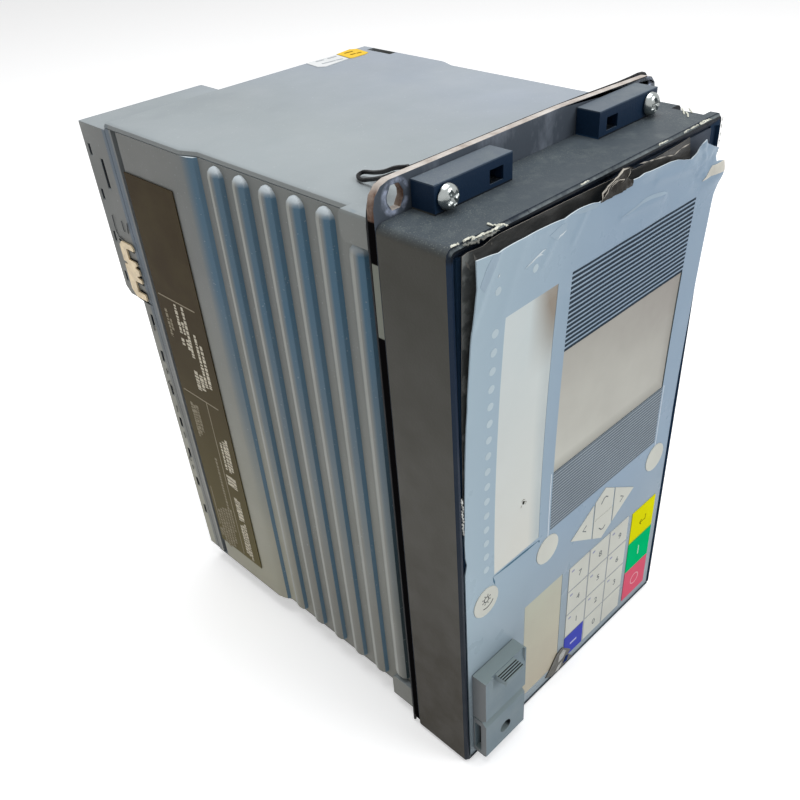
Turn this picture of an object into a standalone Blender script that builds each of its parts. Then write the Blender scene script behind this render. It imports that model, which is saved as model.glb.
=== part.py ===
"""Protection relay for flush mounting in a panel, about 150 x 262 x 228 mm.

The front looks towards -Y, +X is to the right seen from the front, and the lowest edge lies
at height zero. Sizes are in millimetres and become metres where a mesh is made. Depths are
counted from the front face of the mounting flange, positive towards the back.
"""
import math

import bmesh
import bpy
from mathutils import Matrix, Vector

MM = 0.001

# Clearance between neighbouring pieces, and between a moving piece and what it could touch
GAP = 0.3
TRAVEL_ROOM = 0.9

# Mounting flange
FLANGE_WIDTH = 150.0
FLANGE_HEIGHT = 262.0
FLANGE_THICKNESS = 3.0
FLANGE_CORNER = 7.0
FLANGE_DROOP = 1.8
FLANGE_DROOP_START = 60.0
FLANGE_BORDER = 8.5
SLOT_SIDE = 9.25
SLOT_EDGE = 5.8
SLOT_WIDTH = 6.6
SLOT_LENGTH = 8.4

# Housing of sheet metal behind the flange
FLANGE_LEDGE = 2.5
HOUSING_DEPTH = 163.0
HOUSING_LIFT = 9.0
SHEET = 2.0
EDGE_RADIUS = 1.9
COLLAR_DEPTH = 3.2
COLLAR_LIFT = 5.5
COLLAR_WIDTH = 5.0
FOLD_LENGTH = 12.7
FOLD_HEIGHT = 11.0
FOLD_DROP = 3.0
REAR_RIM = 4.5
REAR_GROOVE = 3.0
SLEEVE = 6.0

# Vertical ribs of the side panels
RIB_COUNT = 6
RIB_FIRST = 14.0
RIB_PITCH = 15.2
RIB_WIDTH = 8.4
RIB_HEIGHT = 3.0
RIB_TOP_ROOM = 0.8
RIB_BOTTOM_ROOM = 0.8
STEP_RUN = 7.5

# Bezel in front of the flange
BEZEL_DEPTH = 29.5
BEZEL_DROP = 11.5
BEZEL_WALL = 3.0
BEZEL_CORNER = 3.0
RIM_WIDTH = 4.5
RIM_FLAT = 0.9
RIM_DEPTH = 2.1
LUG_LENGTH = 36.0
LUG_DEPTH = 10.0
LUG_HEIGHT = 9.3
LUG_INSET = 15.5
LUG_WINDOW = 6.6
LUG_WINDOW_HEIGHT = 4.6
LUG_WINDOW_DROP = 0.6
LUG_WINDOW_INSET = 4.5
BEZEL_SCREW_INSET = 5.0
SCREW_DIAMETER = 3.6
SCREW_HEAD_DIAMETER = 8.2
SCREW_HEAD_HEIGHT = 3.0

# Front plate, and the printed film that covers it
PLATE_SETBACK = 1.5
PLATE_THICKNESS = 2.5
FILM_THICKNESS = 0.6
FILM_MARGIN_LEFT = 3.7
FILM_MARGIN_RIGHT = 1.6
FILM_MARGIN_BOTTOM = 1.6
FILM_MARGIN_TOP = 2.0
FILM_LIFT = 7.3
FILM_LEAN = 0.45
FILM_FOLD_HEIGHT = 112.0
FILM_FOLD_POWER = 2.0
FILM_FOLD_STEPS = 7

# Windows of the film
HEADER_SHARE = 0.179
STRIPE_SHARE = 0.207
DISPLAY_SHARE = 0.3825
DISPLAY_MARGIN_RIGHT = 14.0
STRIP_LEFT = 16.6
STRIP_WIDTH = 28.0
STRIP_KEY_SPACE = 4.0
STRIP_DISPLAY_SPACE = 7.6
LOWER_STRIP_BOTTOM = 7.5
LOWER_STRIP_HEIGHT = 63.0
LOWER_STRIP_SPACE = 8.0
STRIP_KEYPAD_SPACE = 3.6

# Signal lamps
LED_COUNT = 16
LED_LEFT = 11.9
LED_INSET = 6.3
LED_DIAMETER = 2.6

# Keys
KEY_TRAVEL = 0.6
KEY_PROUD = 0.3
KEY_THICKNESS = 0.7
KEY_PITCH = 16.0
KEY_GROOVE = 1.0
KEYPAD_BOTTOM = 6.0
KEYPAD_RIGHT = 30.0
TALL_KEY_WIDTH = 21.0
TALL_KEY_HEIGHT = 20.9
TALL_KEY_SPACE = 2.6
ROUND_KEY_DIAMETER = 14.6
ROUND_KEY_HEIGHT = 95.6
LAMP_KEY_LEFT = 11.5
MENU_KEY_SPACE = 16.2
MENU_KEY_RIGHT = 12.0
ARROW_HALF_WIDTH = 25.2
ARROW_HALF_HEIGHT = 15.8
ARROW_CUT = 7.7
ARROW_RISE = 17.5
STEM_SHARE = 0.45

# Display, rubber mat and board behind the plate
DISPLAY_DEPTH = 7.0
DISPLAY_FRAME = 5.0
LAMP_BAR_WIDTH = 6.0
LAMP_BAR_DEPTH = 2.5
DOME_HEIGHT = 1.1
MAT_THICKNESS = 1.4
BOARD = 1.6
BOARD_MARGIN = 4.0
BOSS_DIAMETER = 7.0
BOSS_STEP = 14.0
CHIP_SIZE = 20.0
CHIP_HEIGHT = 3.0

# Port with its flap at the lower left
PORT_LEFT = 2.1
PORT_WIDTH = 26.7
PORT_PROUD = 7.7
PORT_TOP = 58.0
PORT_HINGE = 30.0
PORT_BOTTOM = 5.0
PORT_WALL = 1.6
PORT_CHAMFER = 2.2
PORT_HOLE_DIAMETER = 6.8
PORT_SLOT_WIDTH = 3.4
TAB_LENGTH = 12.0
TAB_REACH = 5.2
TAB_THICKNESS = 4.0
TAB_RIBS = 5
SOCKET_WIDTH = 12.0
SOCKET_HEIGHT = 11.0
SOCKET_DEPTH = 14.0

# Terminal blocks on the back
TERMINAL_WIDTH = 62.5
TERMINAL_DEPTH = 22.0
TERMINAL_TOP_DROP = 3.0
TERMINAL_HEIGHT = 80.0
TERMINAL_CHAMFER = 3.5
LOWER_TERMINAL_DEPTH = 8.2
SUPPLY_WIDTH = 40.0
SUPPLY_HEIGHT = 46.0
SUPPLY_DEPTH = 11.0
TERMINAL_PITCH = 12.4
WELL_SIZE = 9.0
WELL_DEPTH = 4.5
CLIP_THICKNESS = 0.8
CLIP_WIDTH = 8.5
CLIP_HEIGHT = 26.0
EARTH_SCREW_DIAMETER = 9.0

# Boards and transformers inside
BOARD_COUNT = 3
RAIL_HEIGHT = 3.0
RAIL_WIDTH = 1.5
TRANSFORMER_SIZE = 24.0
TRANSFORMER_SPACE = 6.0
TRANSFORMER_COUNT = 4

# Labels
LABEL_THICKNESS = 0.3
RATING_WIDTH = 36.0
RATING_BACK = 0.5
RATING_BOTTOM = 13.0
RATING_TOP = 16.0
STICKER_LENGTH = 30.0
STICKER_WIDTH = 9.0
STICKER_SIDE = 8.0

# Rubber seal behind the flange, with the stretch that has come loose
SEAL_RADIUS = 0.7
SEAL_SIDES = 6
SEAL_LOOP = 30.0

# Worked out from the sizes above
BEZEL_TOP = FLANGE_HEIGHT - BEZEL_DROP
HOUSING_TOP = BEZEL_TOP
HALF_FLANGE = FLANGE_WIDTH / 2
HALF_HOUSING = HALF_FLANGE - FLANGE_LEDGE
VALLEY = HALF_HOUSING - RIB_HEIGHT
HOUSING_FRONT = FLANGE_THICKNESS + GAP
COLLAR_BACK = HOUSING_FRONT + COLLAR_DEPTH
PANEL_FRONT = COLLAR_BACK + GAP
LABEL_ZONE = RIB_FIRST + RIB_COUNT * RIB_PITCH - RIB_WIDTH / 2
PANEL_BACK = HOUSING_DEPTH - REAR_RIM - REAR_GROOVE
PANEL_TOP = HOUSING_TOP - SHEET - GAP
PANEL_BOTTOM = HOUSING_LIFT + SHEET + GAP
PLATE_FRONT = PLATE_SETBACK - BEZEL_DEPTH
PLATE_BACK = PLATE_FRONT + PLATE_THICKNESS
FILM_BACK = PLATE_FRONT - GAP
FILM_FRONT = FILM_BACK - FILM_THICKNESS
FILM_LEFT = FILM_MARGIN_LEFT - HALF_FLANGE
FILM_RIGHT = HALF_FLANGE - FILM_MARGIN_RIGHT
FILM_TOP = BEZEL_TOP - FILM_MARGIN_TOP
KEY_FRONT = FILM_FRONT - KEY_PROUD
KEY_BACK = KEY_FRONT + KEY_THICKNESS
STEM_BACK = PLATE_BACK + GAP
DOME_TIP = STEM_BACK + TRAVEL_ROOM
MAT_FRONT = DOME_TIP + DOME_HEIGHT
MAT_BACK = MAT_FRONT + MAT_THICKNESS
BOARD_FRONT = MAT_BACK + GAP
PORT_FACE = FILM_FRONT - PORT_PROUD
FRONT_REACH = TAB_REACH - PORT_FACE
TERMINAL_FRONT = HOUSING_DEPTH + GAP
REAR_REACH = TERMINAL_FRONT + TERMINAL_DEPTH
FLANGE_Y = (FRONT_REACH - REAR_REACH) / 2
KEYPAD_CENTRE = HALF_FLANGE - KEYPAD_RIGHT - 1.5 * KEY_PITCH
KEYPAD_TOP = KEYPAD_BOTTOM + 4 * KEY_PITCH
KEYPAD_LEFT = KEYPAD_CENTRE - 1.5 * KEY_PITCH
ARROW_HEIGHT = KEYPAD_TOP + ARROW_RISE
KEY_ROW_TOP = ROUND_KEY_HEIGHT + ROUND_KEY_DIAMETER / 2
DISPLAY_ZONE = FILM_TOP - KEY_ROW_TOP
HEADER_LOW = FILM_TOP - HEADER_SHARE * DISPLAY_ZONE
STRIP_BOTTOM = KEY_ROW_TOP + STRIP_KEY_SPACE
LED_BOTTOM = STRIP_BOTTOM + LED_INSET
LED_PITCH = (HEADER_LOW - 0.55 * LED_INSET - LED_BOTTOM) / (LED_COUNT - 1)
BOARD_PITCH = 2 * (VALLEY - SHEET) / (BOARD_COUNT + 1)

FINISHES = {
    "grey_metal": ((0.42, 0.46, 0.48, 1), 0.42, 0.6),
    "dark_plastic": ((0.045, 0.055, 0.07, 1), 0.45, 0.0),
    "film": ((0.29, 0.38, 0.48, 1), 0.35, 0.0),
    "bright_metal": ((0.75, 0.76, 0.76, 1), 0.25, 1.0),
    "pale_metal": ((0.72, 0.66, 0.52, 1), 0.35, 0.7),
    "rubber": ((0.012, 0.012, 0.013, 1), 0.6, 0.0),
    "board": ((0.03, 0.17, 0.08, 1), 0.5, 0.0),
    "window": ((0.46, 0.43, 0.36, 1), 0.2, 0.0),
    "lamp": ((0.6, 0.65, 0.68, 1), 0.3, 0.0),
    "card": ((0.6, 0.62, 0.6, 1), 0.5, 0.0),
    "key": ((0.56, 0.56, 0.52, 1), 0.4, 0.0),
    "yellow": ((0.69, 0.64, 0.0, 1), 0.4, 0.0),
    "green": ((0.01, 0.48, 0.16, 1), 0.4, 0.0),
    "red": ((0.78, 0.12, 0.19, 1), 0.4, 0.0),
    "blue": ((0.07, 0.06, 0.52, 1), 0.4, 0.0),
    "port_plastic": ((0.16, 0.21, 0.25, 1), 0.5, 0.0),
    "brown": ((0.07, 0.05, 0.035, 1), 0.45, 0.0),
    "sticker": ((0.88, 0.54, 0.03, 1), 0.5, 0.0),
    "iron": ((0.12, 0.11, 0.1, 1), 0.5, 0.8),
}


# Outlines in a plane

def rectangle(low_u, high_u, low_v, high_v):
    """Corners of an upright rectangle, anticlockwise."""
    return [(low_u, low_v), (high_u, low_v), (high_u, high_v), (low_u, high_v)]


def arc(centre, radius, start, stop, steps):
    """Points of an arc; the angles are in degrees."""
    angles = [math.radians(start + (stop - start) * i / steps) for i in range(steps + 1)]
    return [(centre[0] + radius * math.cos(a), centre[1] + radius * math.sin(a)) for a in angles]


def rounded(low_u, high_u, low_v, high_v, radius, steps=3):
    """Rectangle with round corners, anticlockwise from the lower right corner."""
    outline = []
    corners = ((high_u, low_v, -90), (high_u, high_v, 0), (low_u, high_v, 90), (low_u, low_v, 180))
    for corner_u, corner_v, start in corners:
        inward_u = math.copysign(radius, (low_u + high_u) / 2 - corner_u)
        inward_v = math.copysign(radius, (low_v + high_v) / 2 - corner_v)
        centre = (corner_u + inward_u, corner_v + inward_v)
        outline += arc(centre, radius, start, start + 90, steps)
    return outline


def circle(centre, radius, sides):
    """Regular polygon that stands for a round hole or pin."""
    return arc(centre, radius, 0, 360 - 360 / sides, sides - 1)


def slot(centre, width, length, steps=4):
    """Upright oblong slot."""
    reach = (length - width) / 2
    upper = arc((centre[0], centre[1] + reach), width / 2, 0, 180, steps)
    lower = arc((centre[0], centre[1] - reach), width / 2, 180, 360, steps)
    return upper + lower


# Solids, made as bmesh and in millimetres

def place(axis, u, v, along):
    """Point of a plane across an axis: (y, z) across X, (x, z) across Y, (x, y) across Z."""
    if axis == "X":
        return Vector((along, u, v))
    if axis == "Y":
        return Vector((u, along, v))
    return Vector((u, v, along))


def prism(axis, outline, low, high, holes=()):
    """Outline with holes, drawn out along an axis from low to high."""
    shape = bmesh.new()
    edges = []
    for loop in [outline, *holes]:
        points = [shape.verts.new(place(axis, u, v, low)) for u, v in loop]
        for first, second in zip(points, points[1:] + points[:1]):
            edges.append(shape.edges.new((first, second)))
    if holes:
        bmesh.ops.triangle_fill(shape, use_beauty=True, edges=edges)
    else:
        shape.faces.new(shape.verts[:])
    moved = bmesh.ops.extrude_face_region(shape, geom=shape.faces[:])
    new_points = [item for item in moved["geom"] if isinstance(item, bmesh.types.BMVert)]
    bmesh.ops.translate(shape, verts=new_points, vec=place(axis, 0, 0, high - low))
    bmesh.ops.recalc_face_normals(shape, faces=shape.faces[:])
    return shape


def box(x, y, z):
    """Block between pairs of limits."""
    return prism("Z", rectangle(x[0], x[1], y[0], y[1]), z[0], z[1])


def rod(axis, centre, radius, low, high, sides=12):
    """Round rod along an axis."""
    return prism(axis, circle(centre, radius, sides), low, high)


def lofted(rings, closed=False):
    """Solid through rings of equal length; closed joins the last ring to the first."""
    shape = bmesh.new()
    rows = [[shape.verts.new(point) for point in ring] for ring in rings]
    pairs = list(zip(rows, rows[1:] + rows[:1])) if closed else list(zip(rows, rows[1:]))
    for near, far in pairs:
        for i in range(len(near)):
            j = (i + 1) % len(near)
            shape.faces.new((near[i], near[j], far[j], far[i]))
    if not closed:
        shape.faces.new(rows[0])
        shape.faces.new(rows[-1])
    bmesh.ops.recalc_face_normals(shape, faces=shape.faces[:])
    return shape


def turned(axis, centre, profile, sides=12):
    """Solid of revolution about an axis; the profile has (along, radius) pairs."""
    rings = []
    for along, radius in profile:
        rings.append([place(axis, u, v, along) for u, v in circle(centre, radius, sides)])
    return lofted(rings)


def frame_ring(section, half_width, low, high, corner, steps=3):
    """Rectangular frame whose section has (inset, depth) points."""
    rings = []
    for inset, depth in section:
        radius = max(corner - inset, 0.2)
        outline = rounded(inset - half_width, half_width - inset, low + inset, high - inset, radius, steps)
        rings.append([Vector((u, depth, v)) for u, v in outline])
    return lofted(rings, closed=True)


def group(*shapes):
    """Several solids that don't touch, taken together as one tool."""
    shape = bmesh.new()
    for part in shapes:
        mesh = bpy.data.meshes.new("part")
        part.to_mesh(mesh)
        part.free()
        shape.from_mesh(mesh)
        bpy.data.meshes.remove(mesh)
    return shape


def flank(shape, side):
    """Shape that was made for the right side, put on the side asked for (-1 is left)."""
    if side < 0:
        bmesh.ops.scale(shape, vec=(-1, 1, 1), verts=shape.verts[:])
        bmesh.ops.reverse_faces(shape, faces=shape.faces[:])
    return shape


# Objects

def add_object(name, shape, pivot):
    """Object in metres with its origin at the pivot, which is given in millimetres."""
    world_pivot = Vector((pivot[0], pivot[1] + FLANGE_Y, pivot[2]))
    bmesh.ops.translate(shape, verts=shape.verts[:], vec=(-pivot[0], -pivot[1], -pivot[2]))
    bmesh.ops.scale(shape, vec=(MM, MM, MM), verts=shape.verts[:])
    mesh = bpy.data.meshes.new(name)
    shape.to_mesh(mesh)
    shape.free()
    obj = bpy.data.objects.new(name, mesh)
    obj.location = world_pivot * MM
    bpy.context.scene.collection.objects.link(obj)
    return obj


def piece(name, shape, finish, pivot=(0, 0, 0), smooth=False):
    """One named sub-part with its own material."""
    obj = add_object(name, shape, pivot)
    colour, roughness, metallic = FINISHES[finish]
    material = bpy.data.materials.new(name)
    material.use_nodes = True
    shader = material.node_tree.nodes["Principled BSDF"]
    shader.inputs["Base Color"].default_value = colour
    shader.inputs["Roughness"].default_value = roughness
    shader.inputs["Metallic"].default_value = metallic
    obj.data.materials.append(material)
    if smooth:
        obj.data.shade_smooth()
        obj.data.set_sharp_from_angle(angle=math.radians(35))
    return obj


def combine(obj, shape, operation):
    """Boolean between a sub-part and a hidden tool."""
    tool = add_object(obj.name + "_tool", shape, (0, 0, 0))
    tool.hide_render = True
    tool.display_type = "WIRE"
    modifier = obj.modifiers.new(operation.lower(), "BOOLEAN")
    modifier.operation = operation
    modifier.object = tool


def cut(obj, *shapes):
    """Take solids away; they don't touch each other."""
    combine(obj, group(*shapes), "DIFFERENCE")


def fuse(obj, *shapes):
    """Add solids that reach into the sub-part; they don't touch each other."""
    combine(obj, group(*shapes), "UNION")


# Flange and seal

def flange_outline():
    """Outline with round corners; the upper right stretch is bent down a little."""
    right = HALF_FLANGE
    droop_start = right - FLANGE_DROOP_START
    low_top = FLANGE_HEIGHT - FLANGE_DROOP
    radius = FLANGE_CORNER
    outline = arc((right - radius, radius), radius, -90, 0, 3)
    outline += arc((right - radius, low_top - radius), radius, 0, 90, 3)
    outline.append((droop_start, FLANGE_HEIGHT))
    outline += arc((radius - right, FLANGE_HEIGHT - radius), radius, 90, 180, 3)
    outline += arc((radius - right, radius), radius, 180, 270, 3)
    return outline


def bezel_screw_place(side):
    """Centre of a bezel screw in the front view."""
    return (side * (HALF_FLANGE - LUG_INSET - BEZEL_SCREW_INSET), BEZEL_TOP + LUG_HEIGHT / 2)


def build_flange():
    holes = []
    for side in (-1, 1):
        for height in (SLOT_EDGE, FLANGE_HEIGHT - SLOT_EDGE):
            holes.append(slot((side * (HALF_FLANGE - SLOT_SIDE), height), SLOT_WIDTH, SLOT_LENGTH, 3))
        holes.append(circle(bezel_screw_place(side), SCREW_DIAMETER / 2 + GAP, 8))
    reach = HALF_FLANGE - FLANGE_BORDER
    base = HOUSING_LIFT + FLANGE_BORDER / 2
    holes.append(rectangle(-reach, reach, base, BEZEL_TOP - FLANGE_BORDER / 2))
    piece("mounting_flange", prism("Y", flange_outline(), 0, FLANGE_THICKNESS, holes), "grey_metal")


def tube(points, radius, sides):
    """Tube along points; each ring stands across the mean of the two runs that meet there."""
    rings = []
    across = Vector((0, 1, 0))
    for i, point in enumerate(points):
        before = points[max(i - 1, 0)]
        after = points[min(i + 1, len(points) - 1)]
        heading = (after - before).normalized()
        across = (across - heading * across.dot(heading)).normalized()
        second = heading.cross(across)
        ring = []
        for k in range(sides):
            angle = 2 * math.pi * k / sides
            ring.append(point + radius * (math.cos(angle) * across + math.sin(angle) * second))
        rings.append(ring)
    return lofted(rings)


def smooth_route(route, steps):
    """Points of a Catmull-Rom curve through the route."""
    points = []
    padded = [route[0]] + route + [route[-1]]
    for before, start, stop, after in zip(padded, padded[1:], padded[2:], padded[3:]):
        for k in range(steps):
            t = k / steps
            pull = (stop - before) * t + (2 * before - 5 * start + 4 * stop - after) * t ** 2
            pull += (3 * start - before - 3 * stop + after) * t ** 3
            points.append(start + pull / 2)
    points.append(route[-1])
    return points


def seal_route():
    """Route of the seal: up the left edge, a loose loop on the roof, and along the top edge."""
    left = -HALF_FLANGE + SEAL_RADIUS + GAP
    behind = FLANGE_THICKNESS + GAP + SEAL_RADIUS
    roof = HOUSING_TOP + GAP + SEAL_RADIUS
    crest = FLANGE_HEIGHT - 1.6 * SEAL_RADIUS
    drooped = crest - FLANGE_DROOP / 2
    lift = crest - roof
    stops = [(left, behind, 2 * SEAL_RADIUS)]
    stops += [(left, behind, HOUSING_TOP * share) for share in (0.33, 0.66, 0.92, 0.98)]
    loop = (
        (0.02, 0, 0.2), (0.1, 0, 0.75), (0.24, 0, 1), (0.42, 0.01, 1), (0.51, 0.2, 0.7), (0.59, 0.47, 0.34),
        (0.645, 0.66, 0.12), (0.645, 0.78, 0.02), (0.7, 0.9, 0.02), (0.8, 0.92, 0.05), (0.77, 0.72, 0.2),
        (0.66, 0.43, 0.54), (0.61, 0.2, 0.87), (0.64, 0.03, 1), (0.82, 0, 1),
    )
    stops += [(left + x * SEAL_LOOP, behind + y * SEAL_LOOP, roof + z * lift) for x, y, z in loop]
    stops += [
        (HALF_FLANGE - FLANGE_DROOP_START, behind, crest),
        (HALF_FLANGE - FLANGE_DROOP_START / 3, behind, drooped),
        (HALF_FLANGE - 2 * FLANGE_CORNER / 3, behind, drooped),
        (HALF_FLANGE - 1.7 * SEAL_RADIUS, behind, drooped - FLANGE_CORNER / 2),
        (HALF_FLANGE - 1.7 * SEAL_RADIUS, behind, drooped - 2 * FLANGE_CORNER),
    ]
    return [Vector(stop) for stop in stops]


def build_seal():
    points = smooth_route(seal_route(), 3)
    piece("flange_seal", tube(points, SEAL_RADIUS, SEAL_SIDES), "rubber", smooth=True)


# Housing

def build_collar():
    inner = HALF_HOUSING - COLLAR_WIDTH
    outline = rounded(-HALF_HOUSING, HALF_HOUSING, COLLAR_LIFT, PANEL_TOP, EDGE_RADIUS, 2)
    hole = rectangle(-inner, inner, COLLAR_LIFT + COLLAR_WIDTH + SHEET, PANEL_TOP - COLLAR_WIDTH)
    piece("front_collar", prism("Y", outline, HOUSING_FRONT, COLLAR_BACK, [hole]), "grey_metal")


def rib_shape(depth, low, high):
    """Upright rib with a round back and round ends, rooted in the panel on the right side."""
    half = RIB_WIDTH / 2
    root = -SHEET / 2
    rings = []
    ends = [(low, 1), (low, 0.67), (low, 0.33), (low, 0)]
    ends += [(high, 0), (high, 0.33), (high, 0.67), (high, 1)]
    for height, share in ends:
        tilt = math.radians(80 * share)
        size = math.cos(tilt)
        inward = half * (1 - math.sin(tilt))
        level = height + inward if height == low else height - inward
        section = [(half * size, root)]
        for k in range(7):
            angle = math.radians(180 * k / 6)
            section.append((half * size * math.cos(angle), RIB_HEIGHT * size * math.sin(angle) ** 0.7))
        section.append((-half * size, root))
        rings.append([Vector((VALLEY + out, depth + along, level)) for along, out in section])
    return lofted(rings)


def side_section():
    """Section of the right side panel, seen from above: flat for the ribs, proud for the label."""
    outer = [(VALLEY, PANEL_FRONT), (VALLEY, LABEL_ZONE)]
    for k in (1, 2, 3):
        angle = math.radians(90 * k / 3)
        depth = LABEL_ZONE + STEP_RUN * (1 - math.cos(angle))
        outer.append((VALLEY + RIB_HEIGHT * math.sin(angle), depth))
    outer += [(HALF_HOUSING, PANEL_BACK - SHEET / 2), (HALF_HOUSING - SHEET / 2, PANEL_BACK)]
    inner = [(HALF_HOUSING - SHEET, PANEL_BACK), (HALF_HOUSING - SHEET, LABEL_ZONE + STEP_RUN + SHEET)]
    inner += [(VALLEY - SHEET, LABEL_ZONE + SHEET), (VALLEY - SHEET, PANEL_FRONT)]
    return outer + inner


def build_side_panel(name, side):
    panel = piece(name, flank(prism("Z", side_section(), PANEL_BOTTOM, PANEL_TOP), side), "grey_metal")
    ribs = []
    for index in range(RIB_COUNT):
        low = PANEL_BOTTOM + RIB_BOTTOM_ROOM
        high = PANEL_TOP - RIB_TOP_ROOM
        if index == 0:
            low = HOUSING_LIFT + FOLD_HEIGHT + GAP
            high = HOUSING_TOP - FOLD_HEIGHT - GAP
        ribs.append(flank(rib_shape(RIB_FIRST + index * RIB_PITCH, low, high), side))
    fuse(panel, *ribs)


def cover_plan(front):
    """Outline of the roof and floor sheets, seen from above: wide, narrow over the ribs, wide."""
    fold_back = PANEL_FRONT + FOLD_LENGTH
    right = [
        (HALF_HOUSING, front), (HALF_HOUSING, fold_back), (VALLEY, fold_back),
        (VALLEY, LABEL_ZONE), (HALF_HOUSING, LABEL_ZONE + STEP_RUN), (HALF_HOUSING, HOUSING_DEPTH),
    ]
    left = [(-x, y) for x, y in reversed(right)]
    return right + left


def board_places():
    """Sideways places of the boards inside, about the middle."""
    return [(index - (BOARD_COUNT - 1) / 2) * BOARD_PITCH for index in range(BOARD_COUNT)]


def rails(low, high):
    """Pairs of upright rails that hold the edges of the boards."""
    shapes = []
    reach = BOARD / 2 + GAP
    for place_x in board_places():
        for side in (-1, 1):
            near = place_x + side * reach
            far = place_x + side * (reach + RAIL_WIDTH)
            shapes.append(box(sorted((near, far)), (PANEL_FRONT + SLEEVE, PANEL_BACK - 2 * SLEEVE), (low, high)))
    return shapes


def rim_bevelled(shape, height):
    """Round off the edges that lie at a height."""
    edges = [e for e in shape.edges if all(abs(v.co.z - height) < 0.01 for v in e.verts)]
    rim = [e for e in edges if any(abs(f.normal.z) < 0.5 for f in e.link_faces)]
    bmesh.ops.bevel(shape, geom=rim, offset=EDGE_RADIUS, segments=2, profile=0.5, affect="EDGES")
    return shape


def fold_tabs(low, high, corner_low):
    """Tabs folded over the side panels just behind the flange."""
    radius = FOLD_LENGTH / 4
    front = PANEL_FRONT
    back = PANEL_FRONT + FOLD_LENGTH
    if corner_low:
        outline = [(front, low), *arc((back - radius, low + radius), radius, -90, 0, 3), (back, high), (front, high)]
    else:
        outline = [(front, low), (back, low), *arc((back - radius, high - radius), radius, 0, 90, 3), (front, high)]
    return [flank(prism("X", outline, VALLEY + GAP, HALF_HOUSING), side) for side in (-1, 1)]


def build_roof():
    shape = prism("Z", cover_plan(HOUSING_FRONT), HOUSING_TOP - SHEET, HOUSING_TOP)
    roof = piece("top_cover", rim_bevelled(shape, HOUSING_TOP), "grey_metal")
    fuse(roof, *fold_tabs(HOUSING_TOP - FOLD_HEIGHT, HOUSING_TOP - EDGE_RADIUS, True))
    fuse(roof, *rails(HOUSING_TOP - SHEET - RAIL_HEIGHT, HOUSING_TOP - SHEET / 2))
    lift_x = (HALF_HOUSING - 3 * SHEET, HALF_HOUSING - SHEET)
    cut(roof, box(lift_x, (HOUSING_DEPTH - 24, HOUSING_DEPTH - 8), (HOUSING_TOP - 2 * SHEET, HOUSING_TOP + SHEET)))


def build_floor():
    shape = prism("Z", cover_plan(PANEL_FRONT), HOUSING_LIFT, HOUSING_LIFT + SHEET)
    floor = piece("bottom_cover", rim_bevelled(shape, HOUSING_LIFT), "grey_metal")
    fuse(floor, *fold_tabs(HOUSING_LIFT - FOLD_DROP, HOUSING_LIFT + FOLD_HEIGHT, False))
    fuse(floor, *rails(HOUSING_LIFT + SHEET / 2, HOUSING_LIFT + SHEET + RAIL_HEIGHT))


def build_rear_cover():
    rim_front = HOUSING_DEPTH - REAR_RIM
    wide = rectangle(-HALF_HOUSING, HALF_HOUSING, PANEL_BOTTOM, PANEL_TOP)
    cover = piece("rear_cover", prism("Y", wide, rim_front, HOUSING_DEPTH), "grey_metal")
    outer = HALF_HOUSING - SHEET - GAP
    inner = outer - SHEET
    low = PANEL_BOTTOM + SHEET
    high = PANEL_TOP - SHEET
    sleeve_front = PANEL_BACK - SLEEVE
    sleeve = prism("Y", rectangle(-outer, outer, PANEL_BOTTOM, PANEL_TOP), sleeve_front, rim_front + SHEET / 2)
    fuse(cover, sleeve)
    cut(cover, box((-inner, inner), (sleeve_front - SHEET, HOUSING_DEPTH - SHEET), (low, high)))
    vents = []
    for row in range(3):
        for column in range(5):
            place_x = SHEET * 3 + column * 12
            place_z = HOUSING_TOP - 40 - row * 26
            vents.append(box((place_x, place_x + 4), (HOUSING_DEPTH - 2 * SHEET, HOUSING_DEPTH + SHEET), (place_z, place_z + 18)))
    cut(cover, *vents)


# Terminal blocks and other pieces on the back

def wells(left, right, low, high, back):
    """Square screw wells in rows and columns on a rear face, with a screw head in each."""
    columns = max(int((right - left) // TERMINAL_PITCH), 1)
    rows = max(int((high - low) // TERMINAL_PITCH), 1)
    hollows = []
    heads = []
    for column in range(columns):
        for row in range(rows):
            place_x = (left + right) / 2 + (column - (columns - 1) / 2) * TERMINAL_PITCH
            place_z = (low + high) / 2 + (row - (rows - 1) / 2) * TERMINAL_PITCH
            half = WELL_SIZE / 2
            limits = ((place_x - half, place_x + half), (back - WELL_DEPTH, back + 1), (place_z - half, place_z + half))
            hollows.append(box(*limits))
            top = back - WELL_DEPTH / 3
            heads.append(rod("Y", (place_x, place_z), WELL_SIZE / 3, back - WELL_DEPTH - 1, top, 6))
    return hollows, heads


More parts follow.
